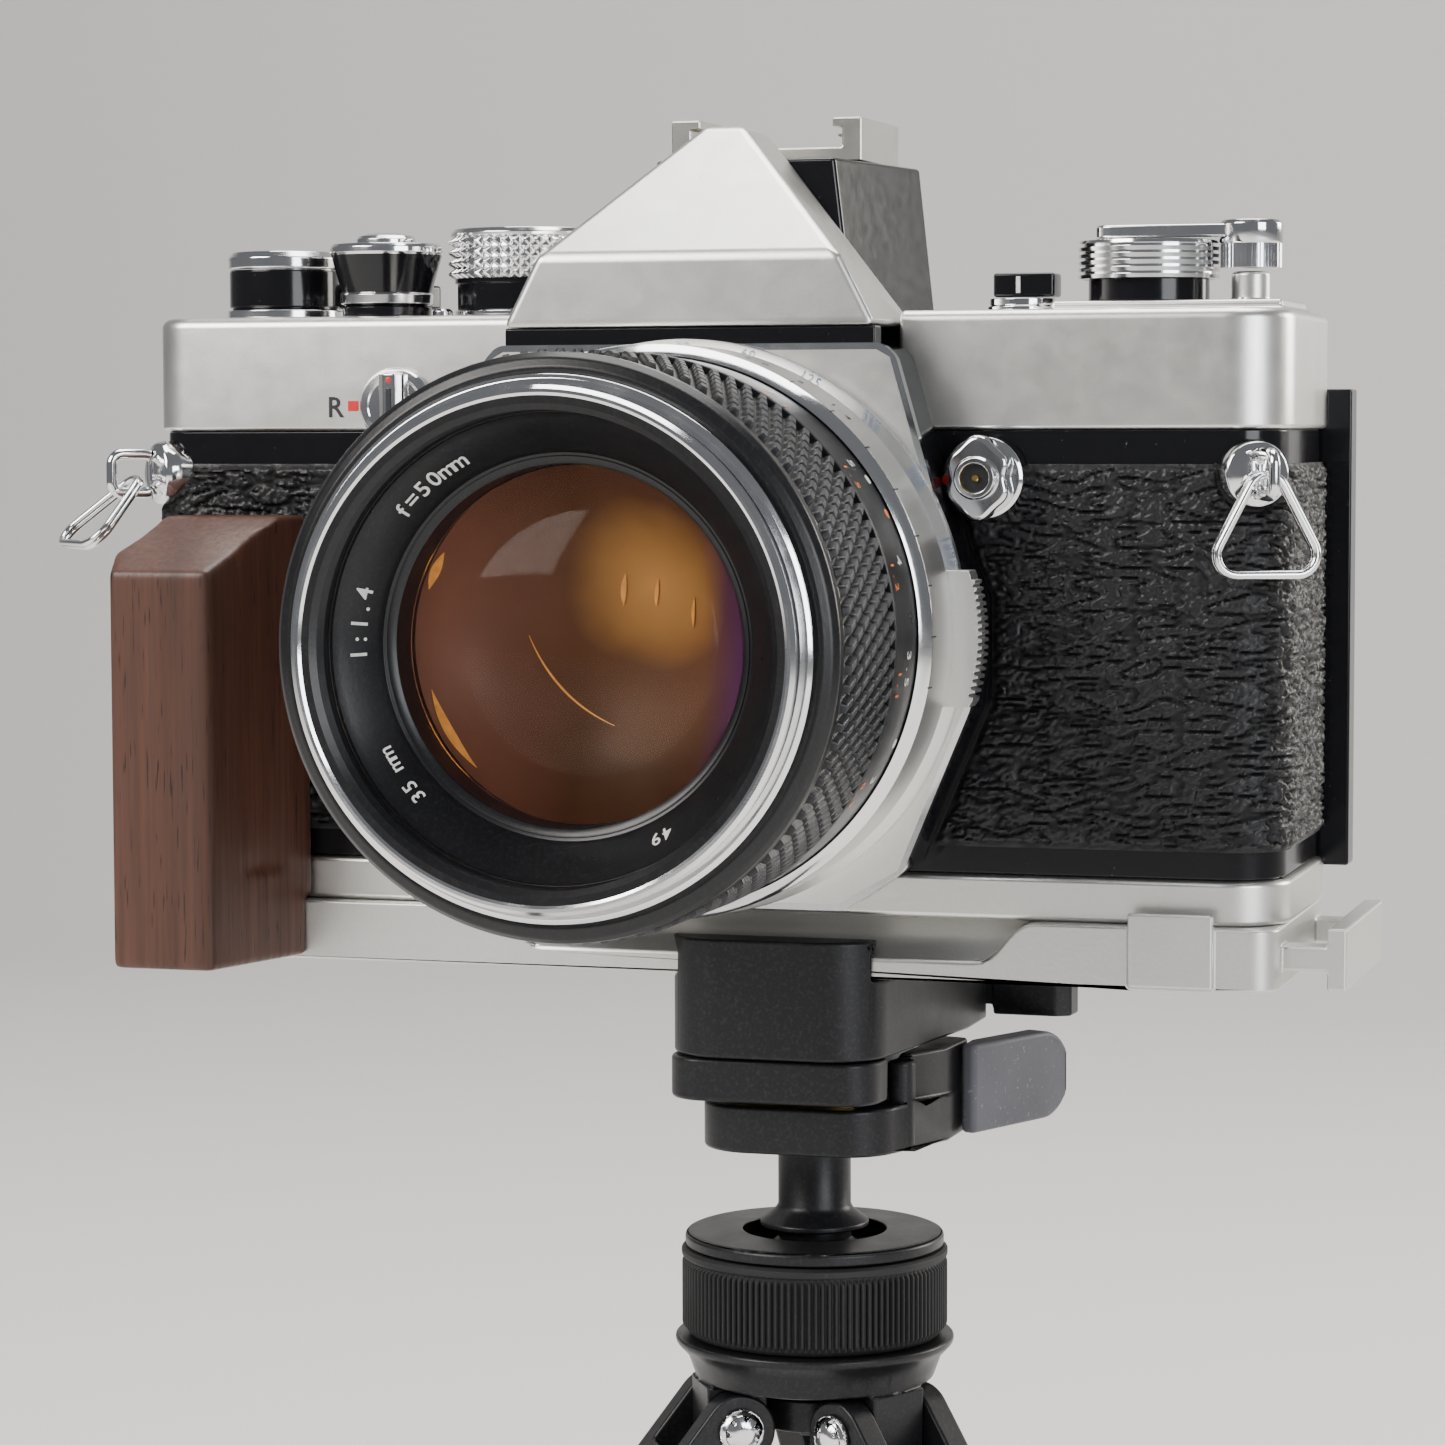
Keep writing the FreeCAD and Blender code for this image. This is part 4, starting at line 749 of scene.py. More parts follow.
def make_leather():
    """The covering of the shell's front and ends, one piece on each side, cut away at the lugs."""
    lug_z, lug_clear = 50.4, 4.4
    low, high = local_box("leather_skins")
    edge_z, edge_x = np.array(PANEL_EDGE).T
    step = 0.22
    for side, sign, half_width, corner, lug_turn in (
            ("right", 1, high.x, 7.0, 28.0), ("left", -1, -low.x, 5.0, 45.0)):
        reach, spots = shell_path(half_width, corner, high.y)
        lug_reach = half_width - corner + corner * math.radians(lug_turn)
        rows = int((high.z - low.z) / step)
        columns = int((reach[-1] - 30) / step)
        z = np.linspace(low.z, high.z, rows)[:, None]
        share = np.linspace(0, 1, columns)[None, :]
        start = np.interp(z, edge_z, edge_x) + 0.1
        t = start + (reach[-1] - start) * share
        z, t = np.broadcast_arrays(z, t)
        wrinkle = leather_relief(t + 90 * (sign + 1), z, 7 if sign > 0 else 19)
        edge = fade_in(t - start, reach[-1] - t, z - low.z, high.z - z)
        out = -0.30 + 0.12 * edge + 0.55 * wrinkle * edge
        lug = np.hypot(t - lug_reach, z - lug_z)
        out = np.where(lug < lug_clear, np.minimum(out, -0.5), out)
        x, y, nx, ny = (np.interp(t, reach, spots[:, i]) for i in range(4))
        norm = np.hypot(nx, ny)
        x, y = x + nx / norm * out, y + ny / norm * out
        points = np.stack([sign * x, y, z], axis=-1)
        points, wrinkle = with_rim(points, wrinkle, 0.5, half_width - 0.8)
        points = np.array(ORIGIN)[None, None] + points * MM
        grid_piece(f"leather_{side}", points, wrinkle, "leather_skins", "leather", replace=True)


def leather_relief(t, z, seed):
    """0 in the creases and 1 on the pebbles; the creases run mostly sideways."""
    drift = gradient_noise(t / 6.0, z / 5.0, seed + 5)
    sideways = np.abs(gradient_noise(t / 5.2, (z + 0.7 * drift) / 1.25, seed))
    middle_size = np.abs(gradient_noise(t / 1.6 + 0.3 * drift, z / 0.9 + 0.3 * drift, seed + 1))
    fine = np.abs(gradient_noise(t / 0.8, z / 0.6, seed + 2))
    plateau = smoothstep(sideways, 0.0, 0.16) * (0.55 + 0.45 * smoothstep(middle_size, 0.0, 0.14))
    return np.clip(plateau * (0.80 + 0.20 * smoothstep(fine, 0.0, 0.2)), 0, 1)


def with_rim(points, crest, depth, side_from):
    """Adds a turned-in rim round a grid of places, depth in millimetres, towards the shell, whose
    ends start side_from from the lens axis and whose front reaches back to front_to."""
    front_to = 3.0
    x = points[..., 0]
    inward = np.zeros_like(points)
    inward[..., 0] = -np.sign(x) * np.where(np.abs(x) > side_from, 1.0, 0.0)
    inward[..., 1] = np.where(points[..., 1] < front_to, 1.0, 0.0)
    size = np.linalg.norm(inward, axis=-1, keepdims=True)
    inward = inward / np.maximum(size, 1e-6) * depth
    pushed = points + inward
    tall = np.concatenate([pushed[:1], points, pushed[-1:]])
    tall_crest = np.concatenate([crest[:1] * 0, crest, crest[-1:] * 0])
    shift = np.concatenate([inward[:1], inward, inward[-1:]])
    inner_row = np.arange(len(tall))[:, None, None] % (len(tall) - 1) > 0
    left = tall[:, :1] + np.where(inner_row, shift[:, :1], 0)
    right = tall[:, -1:] + np.where(inner_row, shift[:, -1:], 0)
    wide = np.concatenate([left, tall, right], axis=1)
    wide_crest = np.concatenate([tall_crest[:, :1] * 0, tall_crest, tall_crest[:, -1:] * 0], axis=1)
    return wide, wide_crest


def make_door():
    """The back door with its own panel of covering and two small screws."""
    low, high = local_box("back_door")
    skin("back_door", "black_gloss", 0.3)
    left, right, margin = -58, 62, 5
    z = np.linspace(low.z + margin, high.z - margin, 150)[:, None]
    x = np.linspace(left, right, 380)[None, :]
    z, x = np.broadcast_arrays(z, x)
    wrinkle = leather_relief(x + 400, z, 31)
    edge = fade_in(x - left, right - x, z - low.z - margin, high.z - margin - z)
    y = high.y + 0.12 + 0.42 * wrinkle * edge
    points = np.stack([x, y, z], axis=-1)
    border = np.ones(x.shape, bool)
    border[1:-1, 1:-1] = False
    points[..., 1] = np.where(border, high.y - 0.3, points[..., 1])
    grid_piece("door_leather", np.array(ORIGIN)[None, None] + points * MM, wrinkle,
               "back_door", "leather")
    for index, x in enumerate((-56.5, 60.5)):
        lathe(f"door_screw_{index}", [(0, 0), (1.2, 0), (1.2, 0.35), (0.8, 0.6), (0, 0.7)],
              cam(x, high.y - 0.1, low.z + 3), Vector((0, 1, 0)), "back_door", "steel", 40, 0)


def make_grip():
    """The walnut grip, its edges worn round as sanded wood is."""
    grip = skin("wood_grip", "walnut", 0.0)
    remesh = grip.modifiers.new("sanded", "REMESH")
    remesh.mode = "VOXEL"
    remesh.voxel_size = 0.32 * MM
    remesh.use_smooth_shade = True
    worn = grip.modifiers.new("worn", "SMOOTH")
    worn.factor = 0.5
    worn.iterations = 22


def make_front_panel():
    """The satin face plate between the polished rim of the panel and the lens mount."""
    low, high = local_box("front_panel")
    shrink = 0.75
    points = [(x - shrink * (1 if x > 0 else -1), z) for z, x in PANEL_EDGE[1:]]
    outline = [(x, min(max(z, low.z + shrink), high.z - shrink)) for x, z in points]
    outline = outline + [(-x, z) for x, z in reversed(outline)]
    outer = len(outline)
    ring = 96
    radius = 25.0
    front = low.y - 0.12
    work = bmesh.new()
    loop = [work.verts.new(cam(x, front, z)) for x, z in outline]
    circle = [work.verts.new(cam(radius * math.cos(2 * math.pi * i / ring), front,
                                 LENS_Z + radius * math.sin(2 * math.pi * i / ring)))
              for i in range(ring)]
    edges = [work.edges.new((loop[i], loop[(i + 1) % outer])) for i in range(outer)]
    edges += [work.edges.new((circle[i], circle[(i + 1) % ring])) for i in range(ring)]
    bmesh.ops.triangle_fill(work, use_beauty=True, use_dissolve=False, edges=edges)
    made = bmesh.ops.extrude_face_region(work, geom=list(work.faces))
    for item in made["geom"]:
        if isinstance(item, bmesh.types.BMVert):
            item.co.y += 0.5 * MM
    bmesh.ops.recalc_face_normals(work, faces=work.faces)
    data = bpy.data.meshes.new("panel_face")
    work.to_mesh(data)
    work.free()
    data.materials.append(MATERIALS["satin_silver"])
    obj = add_object("panel_face", data)
    smooth_by_angle(data, 30)
    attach(obj, BODY_OF["front_panel"])


# ---------------------------------------------------------------- lens

FRONT = Vector((0, -1, 0))
LENS_AXIS_AT = cam(0, 0, LENS_Z)


def lens_lathe(name, profile, node, looks, bands=None, replace=False, edge=0.12):
    """A turned lens piece: profile is (radius, y) in the camera's own frame."""
    flipped = [(radius, -y) for radius, y in profile]
    lathe(name, flipped, LENS_AXIS_AT, FRONT, node, looks, 224, edge, bands, replace)


def make_lens_rings():
    lens_lathe("filter_ring_chrome", [
        (24.15, -57.5), (24.3, -57.9), (24.6, -58.3), (24.25, -58.7), (24.6, -59.1),
        (24.25, -59.5), (24.6, -59.9), (24.3, -60.5), (24.95, -61.05), (25.75, -61.1),
        (26.05, -61.3), (26.4, -61.3), (26.8, -60.85), (26.85, -60.2), (26.5, -59.35),
        (26.5, -59.15)], "filter_ring",
        ("bright_chrome", "lens_black"), [1] * 9 + [0] * 7, True, 0.0)
    lens_lathe("filter_ring_groove", [(24.2, -57.6), (26.6, -59.3), (26.6, -58.7), (26.5, -57.6)],
               "filter_ring", "lens_black", edge=0)
    lens_lathe("filter_ring_shoulder", [
        (26.55, -58.95), (27.5, -58.95), (27.95, -58.6), (28.0, -58.1), (27.7, -57.6),
        (26.55, -57.5)], "filter_ring", "bright_chrome", edge=0.08)
    barrel = [
        (20.2, -30), (20.2, -47.6), (18.8, -47.6), (18.8, -51.9), (19.4, -52.4), (20.0, -52.7),
        (20.4, -53.5), (23.4, -56.2), (24.0, -56.9), (24.1, -57.4), (26.4, -57.4), (26.4, -54.7),
        (24.3, -54.7), (24.3, -49), (21.8, -46.5), (21.8, -30)]
    lens_lathe("front_barrel_body", barrel, "front_barrel", "lens_black", None, True, 0.05)
    lens_lathe("retainer_ring", [(18.85, -52.15), (19.35, -52.55), (19.6, -52.6), (19.4, -52.2)],
               "front_barrel", "lens_black", edge=0)
    lens_lathe("aperture_ring_body", [
        (26.6, -54.8), (26.6, -57.3), (28.6, -57.7), (29.6, -57.2), (30.2, -56.4), (30.2, -54.8)],
        "aperture_ring", "lens_black", None, True, 0.25)
    lens_lathe("lens_base_body", [
        (19.4, -8.4), (21, -8.4), (21, -13.9), (31.0, -13.9), (31.6, -14.5), (31.6, -23.4),
        (31.2, -24.2), (30.6, -24.7), (30.35, -24.9), (30.35, -15.6), (23.4, -15.6), (23.4, -38),
        (21.9, -38), (21.9, -15.6), (19.4, -15.6)], "lens_base", ("satin_silver", "bright_chrome"),
        [0] * 5 + [1] * 3 + [0] * 7, True, 0.1)
    lens_lathe("mount_flange", [(24.6, -4.2), (24.6, -13.8), (21.3, -13.8), (21.3, -4.2)],
               "body_mount", "bright_chrome", edge=0.15)


def make_glass():
    lens_lathe("front_element", [
        (0, -53.6), (4, -53.42), (8, -52.95), (11, -52.2), (14, -51.1), (16.5, -49.75),
        (18.6, -48.4), (18.6, -47.7), (0, -47.7)], "front_glass", "front_glass", None, True, 0)
    deep = [(0.0, -36.4), (4.0, -36.7), (8.0, -37.7), (12.0, -39.3), (15.0, -41.2), (17.5, -43.4),
            (19.4, -45.6), (19.9, -45.6), (19.9, -44.6), (12, -38.2), (0, -35.2)]
    # the coated surface deep in the lens carries a painted reflection: gold, brown and violet
    lens_lathe("coated_group", deep, "front_glass", "amber", edge=0)
    reach, depth = np.array(deep[:9]).T
    # painted reflections: gold arcs and streaks of light laid on the coated surface
    glints = [
        ("arc_low", 5.5, 5.5, 15.0, 200, 250, 0.16), ("arc_left", 0.0, 0.0, 17.9, 196, 226, 0.8),
        ("arc_left_high", 0.0, 0.0, 18.2, 150, 163, 0.9),
        ("flame_a", 12.0, 3.6, 11.0, 164, 181, 0.55), ("flame_b", 15.5, 3.2, 11.0, 165, 179, 0.42),
        ("flame_c", 20.6, 1.8, 12.0, 168, 182, 0.35)]
    for label, x, z, radius, start, end, width in glints:
        crescent(f"glint_{label}", x, z, radius, start, end, width, reach, depth)
    lens_lathe("inner_edge", [(18.7, -47.5), (20.1, -47.5), (20.1, -43.8), (18.9, -44.6)],
               "front_glass", "deep_black", edge=0)
    lens_lathe("rear_element", [
        (0, -11.6), (8, -12.4), (14, -14), (19.2, -14), (19.2, -18), (0, -18)],
        "rear_glass", "front_glass", None, True, 0)


def crescent(name, x, z, radius, start, end, width, reach, depth):
    """A tapering arc of reflected light on the coated surface, whose profile is reach and depth."""
    steps = 28
    vertices, faces = [], []
    for step in range(steps + 1):
        turn = math.radians(start + (end - start) * step / steps)
        half = width / 2 * math.sin(math.pi * step / steps) + 0.02
        for lift in (0.1, 0.22):
            for side in (-half, half):
                u, v = x + (radius + side) * math.cos(turn), z + (radius + side) * math.sin(turn)
                y = float(np.interp(math.hypot(u, v), reach, depth))
                vertices.append(cam(u, y - lift, LENS_Z + v))
    for step in range(steps):
        here, there = step * 4, step * 4 + 4
        for one, two in ((0, 1), (1, 3), (3, 2), (2, 0)):
            faces.append((here + one, here + two, there + two, there + one))
    faces += [(0, 1, 3, 2), tuple(steps * 4 + i for i in (0, 1, 3, 2))]
    piece(name, vertices, faces, "front_glass", "gold_glint")


def lens_text(name, marks, node, look, radius, along, tilt):
    """Letters round a sloping ring that faces forward; marks are (angle, text, size)."""
    placed = []
    for angle, text, size in marks:
        def place(u, v, angle=angle):
            spot_angle = angle + math.degrees(u / radius)
            spot_radius = radius + v * math.cos(tilt)
            return lens_spot(spot_angle, spot_radius, along - v * math.sin(tilt))
        placed.append((text, size, place))
    lettering(name, placed, node, look)


def barrel_text(name, marks, node, look, radius):
    """Letters on the outside of a lens ring: marks are (angle, along, text, size)."""
    placed = []
    for angle, along, text, size in marks:
        def place(u, v, angle=angle, along=along):
            return lens_spot(angle + math.degrees(u / radius), radius, along + v)
        placed.append((text, size, place))
    lettering(name, placed, node, look)


def make_lens_lettering():
    slope = math.radians(42)
    lens_text("name_ring_text", [
        (-40, "f=50mm", 2.6), (-84, "1:1.4", 2.6), (-128, "35 mm", 2.2), (150, "49", 2.2)],
        "front_barrel", "white_paint", 21.9, -54.93, slope)
    scale = [(8, "15"), (30, "7"), (52, "5"), (74, "4"), (96, "3.5"), (120, "3"), (146, "2.5"),
             (172, "2"), (-22, "30")]
    marks = [(a, -28.3, t, 2.3) for a, t in scale]
    barrel_text("distance_numbers", marks, "focus_ring", "white_paint", 30.26)
    metres = [(a + 3, -31.6, str(round(float(t) * 0.3, 1)), 1.9) for a, t in scale]
    barrel_text("distance_numbers_metric", metres, "focus_ring", "orange_paint", 30.26)
    speeds = [("B", -84), ("1", -70), ("2", -56), ("4", -42), ("8", -28), ("15", -14), ("30", 0),
              ("60", 14), ("125", 28), ("250", 43), ("500", 58), ("1000", 74)]
    barrel_text("shutter_speeds", [(a, -12.45, t, 1.5) for t, a in speeds], "shutter_speed_ring",
                "blue_paint", 32.36)
    apertures = [("16", -30), ("11", -20), ("8", -10), ("5.6", 0), ("4", 10), ("2.8", 20),
                 ("2", 30), ("1.4", 40)]
    stops = [(a, -19.4, t, 1.7) for t, a in apertures]
    barrel_text("depth_scale", stops, "lens_base", "ink", 31.64)
    stop_marks = [(a + 60, -22.6, "|", 1.6) for _, a in apertures]
    barrel_text("depth_marks", stop_marks, "lens_base", "ink", 31.64)
    for index, angle in enumerate((56, 64, 112)):
        dot = lens_spot(angle, 30.22, -26.0)
        outward = (dot - lens_spot(angle, 0, -26.0)).normalized()
        round_mark(f"scale_dot_{index}", dot, outward, 0.55, "focus_ring",
                   "orange_paint" if index == 1 else "white_paint")


def round_mark(name, place, outward, radius, node, look):
    """A small filled paint dot, slightly domed."""
    across = outward.orthogonal().normalized()
    other = outward.cross(across)
    steps, height = 20, 0.06
    vertices = []
    for size, lift in ((radius, -0.15), (radius, height * 0.3), (radius * 0.6, height)):
        for step in range(steps):
            turn = 2 * math.pi * step / steps
            vertices.append(place + (across * math.cos(turn) + other * math.sin(turn)) * size * MM
                            + outward * lift * MM)
    faces = [(r * steps + i, r * steps + (i + 1) % steps, (r + 1) * steps + (i + 1) % steps,
              (r + 1) * steps + i) for r in range(2) for i in range(steps)]
    faces.append(tuple(range(2 * steps, 3 * steps)))
    faces.append(tuple(range(steps)))
    piece(name, vertices, faces, node, look)


def make_focus_ring():
    columns = 96
    per_block = 12
    rows_of_blocks = 7
    start, end = 35.2, 53.7

    def block_height(angle, along):
        row = (along - start) / (end - start) * rows_of_blocks
        slant = row * 0.5
        across = tooth(angle * columns / (2 * math.pi) + slant, 0.34, 0.42)
        stacked = tooth(row, 0.62, 0.34)
        return across * (0.35 + 0.65 * stacked)

    def radius_at(angle, along):
        ends = smoothstep(along, start, start + 0.5) * (1 - smoothstep(along, end - 0.5, end))
        return 29.75 + 0.85 * block_height(angle, along) * (0.25 + 0.75 * ends)

    def crest_at(angle, along):
        return smoothstep(block_height(angle, along), 0.72, 1.0)

    # crests painted grey: wear and a painted highlight
    turned_grip("focus_ring_knurl", radius_at, crest_at, start, end, 150,
                columns * per_block, LENS_AXIS_AT, FRONT, "focus_ring", "worn_black", 28.0)
    lens_lathe("focus_ring_body", [
        (24.6, -27.2), (24.6, -54.4), (28.9, -54.4), (29.4, -53.9), (29.4, -35.4), (30.5, -35.35),
        (30.6, -34.9), (30.2, -34.5), (30.2, -23.9), (29.9, -23.5), (28.6, -23.5), (28.6, -27.2)],
        "focus_ring", "lens_black", None, True, 0.1)
    teeth = 48

    def lip_radius(angle, along):
        scallop = tooth(angle * teeth / (2 * math.pi), 0.30, 0.6)
        return 29.0 + 1.0 * scallop * (1 - smoothstep(along, 54.1, 54.7) * 0.5)

    turned_grip("focus_ring_lip", lip_radius, crest_at, 53.75, 54.65, 6, teeth * 16, LENS_AXIS_AT,
                FRONT, "focus_ring", "lens_black", 26.0)


def make_speed_ring():
    lens_lathe("speed_ring_band", [
        (24.9, -13.6), (30.4, -13.6), (30.9, -13.4), (32.1, -11.9), (32.35, -11.5), (32.35, -10.3),
        (32.1, -10.05), (24.9, -10.05)], "shutter_speed_ring", "satin_silver", None,
        True, 0.1)
    for name, turn in (("right", 0.0), ("left", math.pi)):
        make_speed_tab(name, turn)


def make_speed_tab(name, turn):
    """A finger tab at the side of the speed ring with a finely serrated edge."""
    teeth = 17
    low, high = -8.2, 6.8
    outline = [(26, low), (33.2, low)]
    for tooth_index in range(teeth):
        base = low + 0.7 + (high - low - 1.4) * tooth_index / teeth
        pitch = (high - low - 1.4) / teeth
        bulge = 1.5 * (1 - ((base - (low + high) / 2) / 8.2) ** 2)
        outline += [(33.2 + bulge, base + 0.1 * pitch), (33.2 + bulge, base + 0.5 * pitch),
                    (32.75 + bulge, base + 0.62 * pitch), (32.75 + bulge, base + 0.98 * pitch)]
    outline += [(33.2, high), (26, high)]
    sign = math.cos(turn)

    def place(u, v, w):
        return cam(sign * u, -13.55 + w, LENS_Z + sign * v)

    prism(f"speed_tab_{name}", outline, 3.4, place, "shutter_speed_ring", "satin_silver", 0.08, 1)


# ---------------------------------------------------------------- controls on the deck

UP = Vector((0, 0, 1))


def deck_lathe(name, node, x, y, profile, looks, bands=None, replace=False, edge=0.1):
    """A turned control standing on the deck: profile is (radius, z) in the camera's own frame."""
    lathe(name, profile, cam(x, y, 0), UP, node, looks, 96, edge, bands, replace)


def make_wind_lever():
    x, y = -58.5, 14.0
    disc = [(0, 68.95), (6.9, 68.95), (6.9, 69.9), (6.3, 70.0), (6.3, 70.15), (6.65, 70.3),
            (6.65, 74.6), (6.45, 74.75), (6.75, 75.0), (6.8, 76.2), (6.2, 76.95), (3.2, 77.0),
            (2.9, 76.7), (0, 76.7)]
    bands = [0, 0, 0, 1, 1, 1, 1, 0, 0, 0, 0, 0, 0, 0]
    deck_lathe("wind_hub", "wind_lever", x, y, disc, ("bright_chrome", "black_gloss"), bands,
               True, 0.12)
    outline = [(0, 3.4), (4.6, 4.8), (13.6, 12.6), (14.6, 15.4), (13, 17), (9.6, 16.2), (-3, 6)]
    rounded = round_outline(outline, 1.2)
    prism("wind_arm", rounded, 3.0, lambda u, v, w: cam(x + u, y + v, 70.3 + w),
          "wind_lever", "black_gloss", 0.4, 3)


def round_outline(outline, radius, steps=5):
    """A closed outline of (u, v) with every corner rounded."""
    corners = [Vector((u, v, 0)) for u, v in outline]
    result = []
    count = len(corners)
    for index, corner in enumerate(corners):
        before, after = corners[index - 1] - corner, corners[(index + 1) % count] - corner
        half = before.angle(after) / 2
        cut_back = min(radius / math.tan(half), before.length * 0.45, after.length * 0.45)
        first = corner + before.normalized() * cut_back
        last = corner + after.normalized() * cut_back
        for step in range(steps + 1):
            t = step / steps
            spot = first * (1 - t) ** 2 + corner * 2 * t * (1 - t) + last * t ** 2
            result.append((spot.x, spot.y))
    return result


def make_release():
    x, y = -43.3, 9.0
    collar = [(3.9, 69.0), (5.3, 69.0), (5.35, 70.0), (4.95, 70.1), (4.95, 70.25), (5.45, 70.45),
              (5.55, 71.5), (5.35, 71.7), (6.6, 76.2), (6.75, 76.5), (6.7, 77.1), (6.4, 77.5),
              (4.3, 77.5), (3.9, 77.2)]
    bands = [1, 1, 1, 1, 0, 0, 0, 1, 0, 0, 0, 0, 1, 1]
    deck_lathe("release_collar_body", "release_collar", x, y, collar,
               ("bright_chrome", "black_gloss"), bands, True, 0.08)
    button = [(0, 71.6), (3.6, 71.6), (3.6, 77.5), (3.55, 78.1), (3.2, 78.5), (2.2, 78.75),
              (1.2, 78.8), (0.9, 78.45), (0.0, 78.35)]
    deck_lathe("release_button_body", "shutter_button", x, y, button, "bright_chrome", None,
               True, 0.05)
    deck_lathe("deck_pin", "top_cover", -36.0, 8.4,
               [(0, 68.8), (1.2, 68.8), (1.2, 69.5), (0.9, 69.8), (0, 69.9)], "bright_chrome")


def make_film_dial():
    x, y = -27.0, 14.0
    rows_of_points, around = 4, 46
    start, end = 73.3, 78.3

    def pyramid(angle, along):
        u = np.abs(((angle * around / (2 * math.pi)) % 1.0) - 0.5) * 2
        v = np.abs((((along - start) / (end - start) * rows_of_points) % 1.0) - 0.5) * 2
        return 1 - np.clip(np.maximum(u, v) * 1.25 - 0.25, 0, 1)

    turned_grip("film_dial_knurl", lambda a, h: 8.95 + 0.7 * pyramid(a, h), pyramid, start, end,
                49, around * 10, cam(x, y, 0), UP, "film_speed_dial", "bright_chrome", 7.0)
    lower = [(0, 69.0), (8.9, 69.0), (8.9, 69.5), (8.6, 69.6), (8.6, 72.7), (8.9, 72.8),
             (8.9, 73.4), (0, 73.4)]
    deck_lathe("film_dial_base", "film_speed_dial", x, y, lower, ("bright_chrome", "black_gloss"),
               [0, 0, 0, 1, 1, 1, 1, 0], True, 0.06)
    deck_lathe("film_dial_top", "film_speed_dial", x, y, [
        (0, 78.2), (9.0, 78.2), (9.35, 78.3), (9.4, 78.7), (9.0, 79.2), (7.4, 79.25), (7.1, 79.0),
        (0, 79.0)], "bright_chrome", edge=0.08)


def make_rewind():
    x, y = 47.6, 15.0
    knob = [(0, 69.95), (6.9, 69.95), (6.9, 72.3), (7.5, 72.4)]
    bands = [1, 1, 1]
    grooves = 5
    for groove in range(grooves):
        low = 72.45 + groove * 0.78
        knob += [(8.05, low), (8.1, low + 0.42), (7.6, low + 0.5), (7.6, low + 0.74)]
        bands += [0, 0, 0, 0]
    knob += [(8.05, 76.4), (7.95, 76.75), (7.4, 76.85), (0, 76.85)]
    bands += [0, 0, 0, 0, 0]
    deck_lathe("rewind_knob_body", "rewind_knob", x, y, knob, ("bright_chrome", "black_gloss"),
               bands[:len(knob)], True, 0.0)
    arm = round_outline([(-5.9, 3), (-5.9, -3), (3, -3), (12.4, -2.2), (12.4, 2.2), (3, 3)], 2.0)
    prism("crank_arm", arm, 1.5, lambda u, v, w: cam(x + u, y + v, 77.05 + w), "rewind_crank",
          "bright_chrome", 0.3, 3, True)
    hx = x + 11.7
    ribs = 44
    pitch = 2 * math.pi / ribs
    turned_grip("crank_handle", lambda a, h: 3.25 + 0.22 * tooth(a / pitch, 0.3, 0.4),
                lambda a, h: tooth(a / pitch), 73.6, 76.4, 8, ribs * 8, cam(hx, y, 0), UP,
                "rewind_crank", "bright_chrome", 1.0)
    deck_lathe("crank_handle_cap", "rewind_crank", hx, y, [
        (0, 76.3), (3.5, 76.3), (3.6, 76.6), (3.6, 78.6), (3.3, 79.0), (0, 79.1)], "bright_chrome",
        edge=0.1)


def make_meter_switch():
    x, y = 33.5, 12.0
    deck_lathe("meter_disc", "meter_switch", x, y, [
        (0, 68.95), (4.0, 68.95), (4.0, 69.4), (3.75, 69.5), (3.75, 70.3), (0, 70.4)],
        "bright_chrome", None, True)
    outline = round_outline([(-3.0, -2.2), (4.1, -2.2), (4.1, 2.2), (-3.0, 2.2)], 0.5)
    prism("meter_lever", outline, 2.75, lambda u, v, w: cam(x + u, y + v, 70.45 + w),
          "meter_switch", "black_gloss", 0.35, 3)
    block("meter_lever_line", (x - 0.3, y - 2.28, 70.9), (x + 0.2, y - 2.1, 72.8),
          "meter_switch", "white_paint", 0.03)


def make_front_controls():
    x, z = -38.5, 58.3
    at = cam(x, 0, z)
    lathe("rewind_release_disc", [
        (0, 0.1), (4.45, 0.1), (4.45, 0.9), (4.2, 1.25), (3.4, 1.35), (3.2, 1.2), (0, 1.2)],
        at, FRONT, "rewind_release", "bright_chrome", 96, 0.06, replace=True)
    bar = [(-1.75, 0), (-1.55, 1.2), (-0.65, 2.0), (0.65, 2.0), (1.55, 1.2), (1.75, 0)]
    prism("rewind_release_bar", bar, 7.6, lambda u, v, w: cam(x + u, -1.15 - v, z - 3.8 + w),
          "rewind_release", "bright_chrome", 0.25, 3)
    block("rewind_release_line", (x - 0.3, -3.3, z - 2.9), (x + 0.3, -3.1, z + 2.0),
          "rewind_release", "ink", 0.04)
    round_mark("rewind_release_dot", cam(x, -3.16, z + 3.0), FRONT, 0.35, "rewind_release",
               "red_paint")
    letter_at = cam(x - 7.9, -0.06, z - 0.1)
    lettering("rewind_letter", [("R", 3.4, lambda u, v: letter_at + Vector((u, 0, v)) * MM)],
              "top_cover", "ink")
    block("rewind_mark", (x - 6.3, -0.10, z - 0.6), (x - 5.0, 0.3, z + 0.6), "top_cover",
          "red_paint", 0.05)
    make_sync_socket()


